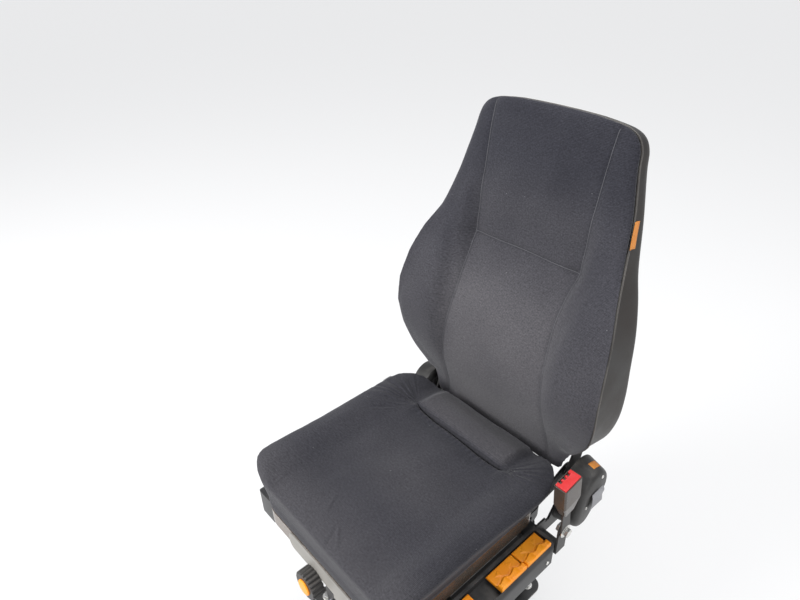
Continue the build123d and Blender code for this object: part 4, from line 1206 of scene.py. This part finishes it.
def to_line(x, up, line):
    """Each point's distance and direction to a line of points, seen from the front."""
    near = np.full(len(x), np.inf)
    way = np.zeros((len(x), 2))
    spots = np.stack([x, up], 1)
    for start, end in zip(line[:-1], line[1:]):
        run = end - start
        share = np.clip((spots - start) @ run / max(run @ run, 1e-12), 0, 1)
        gap = start + share[:, None] * run - spots
        length = np.linalg.norm(gap, axis=1)
        closer = length < near
        near[closer] = length[closer]
        way[closer] = gap[closer]
    return near, way / (near[:, None] + 1e-9)


def seam_dents(x, up):
    """How far the seams draw the cover in, with a dimple where the shoulder seam meets the outer ones, and
    how dark the painted shade along them is: bells of the distance to the nearest seam."""
    sink = np.zeros(len(x))
    crease_shade = np.zeros(len(x))
    for name in SEAMS:
        near, _ = to_line(x, up, seam_curve(name, 10))
        depth = SHOULDER_DENT if name == "shoulder" else SEAM_DENT
        sink = np.maximum(sink, depth * bell(near, DENT_WIDTH) + PULL_DEPTH * bell(near, PULL_WIDTH))
        crease_shade = np.maximum(crease_shade, SEAM_SHADE * bell(near, SEAM_SHADE_WIDTH))
    for side in SIDES:
        away = np.hypot(x - side * SHOULDER[0], up - SHOULDER[1])
        sink += DIMPLE_DEPTH * bell(away, DIMPLE_WIDTH)
    return sink, crease_shade


def lip_over_rim(mesh, x, up, ahead):
    """How the cover's edge moves to lie over the shell's: its points within the lip's width of the rim go
    out past it, the nearest ones most, and rise to just above it."""
    rim = np.interp(up, BACK_ROWS[:, HEIGHT], BACK_ROWS[:, RIM])
    lip = eased(mesh, soft_step(*LIP_FACING, facing_ahead(mesh))[:, None], 5)[:, 0]
    lip = soft_step(*LIP_EASED, lip) * soft_step(*LIP_UP, up)
    lip = lip * soft_step(rim - LIP_BEHIND[0], rim - LIP_BEHIND[1], ahead)
    inside, out = to_line(x, up, rim_line(4)[:, :2])
    share = np.clip((inside - LIP_START) / LIP_WIDTH, 0, 1)
    whole = LIP_START + LIP_WIDTH + LIP_PAST
    reach = np.where(share < 1, inside + LIP_PAST - whole * share ** 1.5, 0) * lip
    low = (1 - soft_step(0, 1, share)) * lip
    raised = low * np.maximum(rim + LIP_ABOVE - ahead, 0) + LIP_ROUND * low
    return eased(mesh, np.column_stack([out * reach[:, None], raised]), 2)


def back_wear_and_light(x, up):
    """How much lighter the backrest's cloth is painted, for wear and for light: most in the small of the
    back, which is worn and painted in light, less above, where the upper back is painted in shade, and less
    towards the sides.
    """
    low = 0.85 - 0.55 * soft_step(0.28, 0.50, up) - 0.30 * soft_step(0.50, 0.64, up)
    return low * (1 - 0.55 * soft_step(0.10, 0.18, abs(x)))


def back_cover():
    """The backrest's cover: eased, swollen between its bolsters, drawn in along the seams, with fans of folds
    at the shoulders, slow waves and a lip over the shell's edge."""
    piece = remeshed("back_cover", "back_pad", COVER_SQUARE)
    mesh = piece.data
    points = points_of(mesh)
    free = eased(mesh, soft_step(*FREE_FACING, facing_ahead(mesh))[:, None], 4)[:, 0]
    free *= soft_step(*FREE_UP, to_back(points)[:, 1])
    move_points(mesh, points + free[:, None] * (eased(mesh, points, COVER_EASED) - points))
    swell(piece, 1 - free, COVER_SWELL)
    divided(piece)
    mesh = piece.data
    x, up, ahead = to_back(points_of(mesh)).T
    front = soft_step(*FRONT_FACING, facing_ahead(mesh))
    sink, crease_shade = seam_dents(x, up)
    ripple = sum(SHOULDER_FOLDS * fan(side * x, up, *SHOULDER_FAN, 1.2 + side) for side in SIDES)
    x, up, ahead = (np.stack([x, up, ahead], 1) + lip_over_rim(mesh, x, up, ahead)).T
    ripple = ripple + BACK_WAVE * soft_waves(x, up)
    move_points(mesh, from_back(np.stack([x, up, ahead + front * (ripple - sink)], 1)))
    lay_cloth(mesh, x * (1 + (COVER_CREST - ahead) / COVER_DEPTH), up)
    # Wear and painted light on the cloth
    paint_value(mesh, "worn_and_lit", back_wear_and_light(x, up))
    # Painted shade along the seams
    paint_value(mesh, "crease_shade", crease_shade * front)
    settle(piece, "charcoal_fabric", "backrest", "back_pad")
    return piece


def surface_tree(piece):
    """A search tree of the piece's faces."""
    net = bmesh.new()
    net.from_mesh(piece.data)
    tree = BVHTree.FromBMesh(net)
    net.free()
    return tree


def seam_threads(cover):
    """A thin cord in each seam, its points dropped on to the cover along the backrest's F axis."""
    tree = surface_tree(cover)
    inward = Vector(back_direction(-1))
    grids = []
    for name in SEAMS:
        spots = []
        for x, up in seam_curve(name, 14):
            hit, normal, _, _ = tree.ray_cast(Vector(from_back((x, up, 0.5))), inward)
            if hit:
                spots.append(hit - THREAD_SUNK * normal)
        grids.append(tube_grid(spots, THREAD_RADIUS, 6))
    piece = add_piece("seam_threads", grid_mesh("seam_threads", grids))
    settle(piece, "thread", "backrest", slot="charcoal_fabric")


# Levers

def lever_heights(x, y, low, high):
    """A lever's top over its flat: a finger ridge along the outer half, whose inner edge waves in and out and
    whose back dips like a saddle, and two raised arrowheads that point apart, with a rounded rim."""
    share = (y - low[1]) / (high[1] - low[1])
    turn = 2 * math.pi * RIDGE_TURNS * share
    inner = high[0] - RIDGE_INSET + RIDGE_WAVE * np.sin(turn + 0.45 * np.sin(turn))
    ridge = soft_step(inner, inner + RIDGE_FLANK, x)
    saddle = 1 - RIDGE_SADDLE * (0.5 + 0.5 * np.cos(turn + 0.7 + 0.5 * np.sin(turn))) ** 1.5
    rise = RIDGE_HEIGHT * ridge * saddle - dent(x - inner, *RIDGE_GROOVE)
    for place, way in ARROWS:
        along = way * (y - low[1] - place * (high[1] - low[1]))
        half = ARROW_HALF * np.clip(1 - (along + ARROW_BACK) / ARROW_LENGTH, 0, 1)
        inside = soft_step(-ARROW_FLANK, ARROW_FLANK, half - abs(x - low[0] - ARROW_INSET))
        rise = rise + ARROW_HEIGHT * inside * soft_step(*ARROW_FOOT, along)
    edge = np.minimum(np.minimum(x - low[0], high[0] - x), np.minimum(y - low[1], high[1] - y))
    near = np.clip(1 - edge / LEVER_ROUND, 0, 1)
    return rise - LEVER_ROUND * (1 - np.sqrt(1 - near ** 2 * 0.999))


def lever_cap(number):
    """One lever: a grid of heights, closer towards its edges, with straight sides, a flat underside and a
    short stem."""
    name = f"lever_cap_{number}"
    node_name = f"lever_{number}"
    low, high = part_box(node_name)
    base = low[2] + LEVER_LIFT
    p = 0.5 - 0.5 * np.cos(np.linspace(0, math.pi, LEVER_COLUMNS))
    q = 0.5 - 0.5 * np.cos(np.linspace(0, math.pi, LEVER_ROWS))
    x, y = np.meshgrid(low[0] + (high[0] - low[0]) * p, low[1] + (high[1] - low[1]) * q)
    top = np.stack([x, y, base + LEVER_FLAT + lever_heights(x, y, low, high)], -1)
    rim = np.concatenate([top[0], top[1:, -1], top[-1, -2::-1], top[-2:0:-1, 0]])
    foot = rim * (1, 1, 0) + (0, 0, base)
    middle = (low[1] + high[1]) / 2
    stem = block_grid((low[0] + STEM_INSET[0], middle - STEM_HALF, low[2]),
                      (low[0] + STEM_INSET[1], middle + STEM_HALF, base))
    rows, columns = x.shape
    side_first = rows * columns
    foot_first = side_first + len(rim)
    stem_first = foot_first + len(foot)
    faces = grid_quads(rows, columns, False).tolist()
    faces += (grid_quads(2, len(rim), True) + side_first).tolist()
    faces.append(list(range(foot_first, stem_first)))
    faces += (grid_quads(2, 4, True) + stem_first).tolist()
    faces += [list(range(stem_first, stem_first + 4)), list(range(stem_first + 4, stem_first + 8))]
    mesh = bpy.data.meshes.new(name)
    points = np.concatenate([top.reshape(-1, 3), rim, foot, stem.reshape(-1, 3)])
    mesh.from_pydata(points.tolist(), [], faces)
    close_up(mesh, 60)
    settle(add_piece(name, mesh), "orange_plastic", BODY_OF[node_name], node_name)


# Boot

def boot_skin():
    """The folded boot: a rounded rectangle carried up, its inset following a cosine of the height between
    the two pans, with rounded crests, tight waists and a slight sag of each fold."""
    low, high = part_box("boot")
    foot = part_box("base_pan")[1][2] + BOOT_CLEARANCE
    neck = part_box("head_pan")[0][2] - BOOT_CLEARANCE
    share = np.linspace(0, 1, BOOT_FOLDS * FOLD_STEPS + 1)
    fold = share * BOOT_FOLDS * 2 * math.pi
    crest = (0.5 + 0.5 * np.cos(fold)) ** BOOT_CREST_POWER
    levels = foot + (neck - foot) * share - BOOT_SAG * np.sin(fold)
    levels = np.concatenate([[low[2]], levels, [high[2]]])
    inset = np.concatenate([[0.0], BOOT_FOLD_DEPTH * (1 - crest), [0.0]])
    grid = []
    for level, draw in zip(levels, inset):
        loop = rounded_loop(low[0] + draw, high[0] - draw, low[1] + draw, high[1] - draw,
                            BOOT_CORNER - BOOT_CORNER_DRAW * draw, 6)
        grid.append(np.column_stack([loop, np.full(len(loop), level)]))
    mesh = grid_mesh("boot_skin", [np.array(grid)], sharp=60)
    x, y, _ = points_of(mesh).T
    out = np.maximum(abs(x) / high[0], abs(y) / high[1])
    paint_value(mesh, "crest", soft_step(*BOOT_DUSTY, out))
    settle(add_piece("boot_skin", mesh), "boot_rubber", BODY_OF["boot"], "boot")


# Fasteners

def hex_head(place, axis, flats, height, washer):
    """A washer, and a profile turned in six steps: a hexagon's flats and a chamfered top."""
    corner = flats * CORNER_SHARE
    disc = turned_grid([(0.0, washer), (WASHER_FLAT, washer), (WASHER_THICK, washer - WASHER_EDGE)],
                       place, axis, 28)
    head = turned_grid([(0.0, corner), (height * CHAMFER_SHARE, corner), (height, flats * HEAD_TOP_SHARE)],
                       np.array(place) + np.array(axis) * WASHER_THICK, axis, 6)
    return [disc, head]


def pan_head(place, axis, radius):
    """A low domed head, a quarter circle drawn flat, with a round recess in its middle."""
    turns = np.linspace(0, math.pi / 2, 7)[:-1]
    profile = [(0.0, radius)]
    profile += [(0.35 * radius * (1 + math.sin(turn)), radius * math.cos(turn)) for turn in turns]
    profile += [(0.66 * radius, 0.22 * radius), (0.30 * radius, 0.16 * radius), (0.28 * radius, 0.0)]
    return turned_grid(profile, place, axis, 20)


def fasteners(name, grids, finish, body, slot=None):
    """One piece of all the fasteners of a kind."""
    settle(add_piece(name, grid_mesh(name, grids, sharp=30)), finish, body, slot=slot)


def add_fasteners():
    """Floor bolts, the anchor bolt's washer, console and cover screws, pan rivets and shell plugs."""
    floor_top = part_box("floor_plate")[1][2]
    bolts = []
    for x, y in FLOOR_BOLTS:
        bolts += hex_head((x, y, floor_top), UPWARD, FLOOR_BOLT_FLATS, FLOOR_BOLT_HEAD, FLOOR_WASHER_RADIUS)
    fasteners("floor_bolt_heads", bolts, "plated_steel", "floor")

    bolt_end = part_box("buckle_bolt")[1][0]
    washer_place = (bolt_end - ANCHOR_WASHER_INSET, ANCHOR[1], ANCHOR[2])
    fasteners("anchor_washers", [turned_grid(ANCHOR_WASHER, washer_place, SIDEWAYS, 32)],
              "plated_steel", "carriage")

    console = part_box("lever_console")[1][0]
    screws = [pan_head((side * console, y, CONSOLE_SCREW_LEVEL), side * SIDEWAYS, CONSOLE_SCREW_RADIUS)
              for side in SIDES for y in CONSOLE_SCREWS[side]]
    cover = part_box("recliner_cover_left")[1][0] - COVER_SCREW_SUNK
    screws += [pan_head((side * cover, y, z), side * SIDEWAYS, COVER_SCREW_RADIUS)
               for side in SIDES for y, z in COVER_SCREWS]
    fasteners("side_screws", screws, "plated_steel", "carriage")

    boxes = [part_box(pan) for pan in RIVETED_PANS]
    places = [(high[0], (low[2] + high[2]) / 2) for low, high in boxes]
    rivets = [pan_head((side * reach, y, level), side * SIDEWAYS, RIVET_RADIUS)
              for y in RIVET_ROW for side in SIDES for reach, level in places]
    fasteners("pan_rivets", rivets, "black_steel", "carriage")

    plugs = [turned_grid(PLUG_PROFILE, from_back((side * PLUG_SIDE, up, rear)), back_direction(-1), 28)
             for up, rear in PLUG_ROWS for side in SIDES]
    fasteners("shell_plugs", plugs, "black_plastic", "backrest", slot="shell_plastic")


# Tags

def tag(name, face, wall, finish, body, slot):
    """A grid of points as a thin blank tag with a wall."""
    piece = add_piece(name, grid_mesh(name, [face], ring=False, caps=False, sharp=60))
    thicken(piece, wall)
    settle(piece, finish, body, slot=slot)


def seam_tab():
    """The woven tab: it hangs from the rim over the shell's side, a bell away from it at its fold."""
    up = np.linspace(*TAB_UP, 13)[:, None]
    fall = np.linspace(*TAB_FALL, 7)[None, :]
    rim = np.interp(up, BACK_ROWS[:, HEIGHT], BACK_ROWS[:, RIM])
    half = np.interp(up, BACK_ROWS[:, HEIGHT], BACK_ROWS[:, HALF])
    stand = TAB_STAND + dent(fall, *TAB_FOLD) + TAB_WAVE * np.sin(60 * fall + 90 * up)
    face = from_back(np.stack([half + stand + 0 * fall, up + 0 * fall, rim + fall], -1))
    tag("seam_tab", face, TAG_WALL, "amber_tag", "backrest", "charcoal_fabric")


def cover_label():
    """The label on the recliner cover: a stretch of a cone about the recliner axis, whose radius gets
    less by the taper from the cover's inner side outwards."""
    inner_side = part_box("recliner_cover_left")[0][0]
    x = np.linspace(*(inner_side + LABEL_ACROSS), 7)[:, None]
    turn = np.radians(np.linspace(*LABEL_TURN, 15))[None, :]
    radius = LABEL_RADIUS - (x - inner_side) * math.tan(LABEL_TAPER) + LABEL_STAND
    y = AXIS[1] + radius * np.sin(turn)
    z = AXIS[2] + LABEL_CENTRE + radius * np.cos(turn)
    face = np.stack([x + 0 * turn, y, z], -1)
    tag("cover_label", face, LABEL_WALL, "amber_tag", "carriage", "black_plastic")


def hanging_tag():
    """The pale cloth tag: a flat stretch between two edges, bowed out in its middle with a slight wave."""
    s = np.linspace(0, 1, 9)[None, :, None]
    t = np.linspace(0, 1, 13)[:, None, None]
    corner, across, down, out = map(np.array, (HANGING_CORNER, HANGING_ACROSS, HANGING_DOWN, HANGING_BOW))
    bow = 4 * t * (1 - t) * 0.6 + 0.25 * np.sin(3 * math.pi * t) * s
    tag("hanging_tag", corner + across * s + down * t + out * bow, TAG_WALL, "pale_tag", "carriage",
        "black_plastic")


def buckle_mouth():
    """The throat in the release button, a dark block filling its slot that stands in for the shade inside it,
    and its two prongs.
    """
    throat = grid_mesh("buckle_throat", [from_buckle(block_grid(*THROAT))], sharp=30)
    settle(add_piece("buckle_throat", throat), "black_gloss", "buckle")
    prong = block_grid(*PRONG)
    prongs = [from_buckle(prong + (0, place, 0)) for place in PRONG_PLACES]
    piece = add_piece("buckle_prongs", grid_mesh("buckle_prongs", prongs, sharp=30))
    round_edges(piece, PRONG_EDGE)
    settle(piece, "red_plastic", "buckle")


# Camera, light and ground

def make_camera():
    """The camera of the photograph, its three axes worked out from yaw, pitch and roll."""
    yaw = math.radians(CAMERA_YAW)
    pitch = math.radians(CAMERA_PITCH)
    roll = math.radians(CAMERA_ROLL)
    ahead = Vector((-math.sin(yaw) * math.cos(pitch), math.cos(yaw) * math.cos(pitch), -math.sin(pitch)))
    level = Vector((math.cos(yaw), math.sin(yaw), 0))
    down = ahead.cross(level)
    right = math.cos(roll) * level + math.sin(roll) * down
    up = math.sin(roll) * level - math.cos(roll) * down
    data = bpy.data.cameras.new("photo_camera")
    data.sensor_width = SENSOR_WIDTH
    data.lens = FOCAL_PIXELS / IMAGE_WIDTH * SENSOR_WIDTH
    data.clip_start = 0.02
    data.clip_end = 60
    camera = bpy.data.objects.new("photo_camera", data)
    turn = Matrix((right, up, -ahead)).transposed().to_4x4()
    camera.matrix_world = Matrix.Translation(CAMERA_PLACE) @ turn
    bpy.context.scene.collection.objects.link(camera)
    bpy.context.scene.camera = camera


def area_lamp(name, place, target, size, watts):
    """A round lamp that faces its target."""
    data = bpy.data.lights.new(name, "AREA")
    data.shape = "DISK"
    data.size = size
    data.energy = watts
    lamp = bpy.data.objects.new(name, data)
    lamp.location = place
    lamp.rotation_mode = "QUATERNION"
    lamp.rotation_quaternion = (Vector(target) - Vector(place)).to_track_quat("-Z", "Y")
    bpy.context.scene.collection.objects.link(lamp)


def make_world():
    """A pale even sky; the camera itself sees plain white."""
    world = bpy.data.worlds.new("studio")
    world.use_nodes = True
    tree = world.node_tree
    sky = tree.nodes["Background"]
    sky.inputs["Color"].default_value = SKY
    sky.inputs["Strength"].default_value = SKY_STRENGTH
    plain = node(tree, "Background", {"Color": (1, 1, 1, 1), "Strength": 1.0})
    seen = node(tree, "LightPath").outputs["Is Camera Ray"]
    mixed = node(tree, "MixShader", {0: seen, 1: sky.outputs[0], 2: plain.outputs[0]})
    tree.links.new(mixed.outputs[0], tree.nodes["World Output"].inputs["Surface"])
    bpy.context.scene.world = world


def make_floor():
    """A wide pale floor that glows a little, so that it runs into the white behind it."""
    bpy.ops.mesh.primitive_plane_add(size=FLOOR_SIZE)
    floor = bpy.context.object
    floor.name = "studio_floor"
    skin, _, _ = new_finish("studio_floor", Base_Color=(0.32, 0.32, 0.32, 1), Roughness=0.8,
                            Specular_IOR_Level=0.1, Emission_Color=(1, 1, 1, 1), Emission_Strength=0.62)
    floor.data.materials.append(skin)


# Build

cover_piece = back_cover()
seat_cushion()
backrest_shell()
edge_piping()
seam_threads(cover_piece)
boot_skin()
for number in (1, 2, 3, 4):
    lever_cap(number)
add_fasteners()
seam_tab()
cover_label()
hanging_tag()
buckle_mouth()
for node_name, width in EDGES.items():
    dressed(node_name, width)

make_camera()
for name, lamp in LAMPS.items():
    area_lamp(name, *lamp)
make_world()
make_floor()

bpy.context.scene.view_settings.view_transform = "Standard"
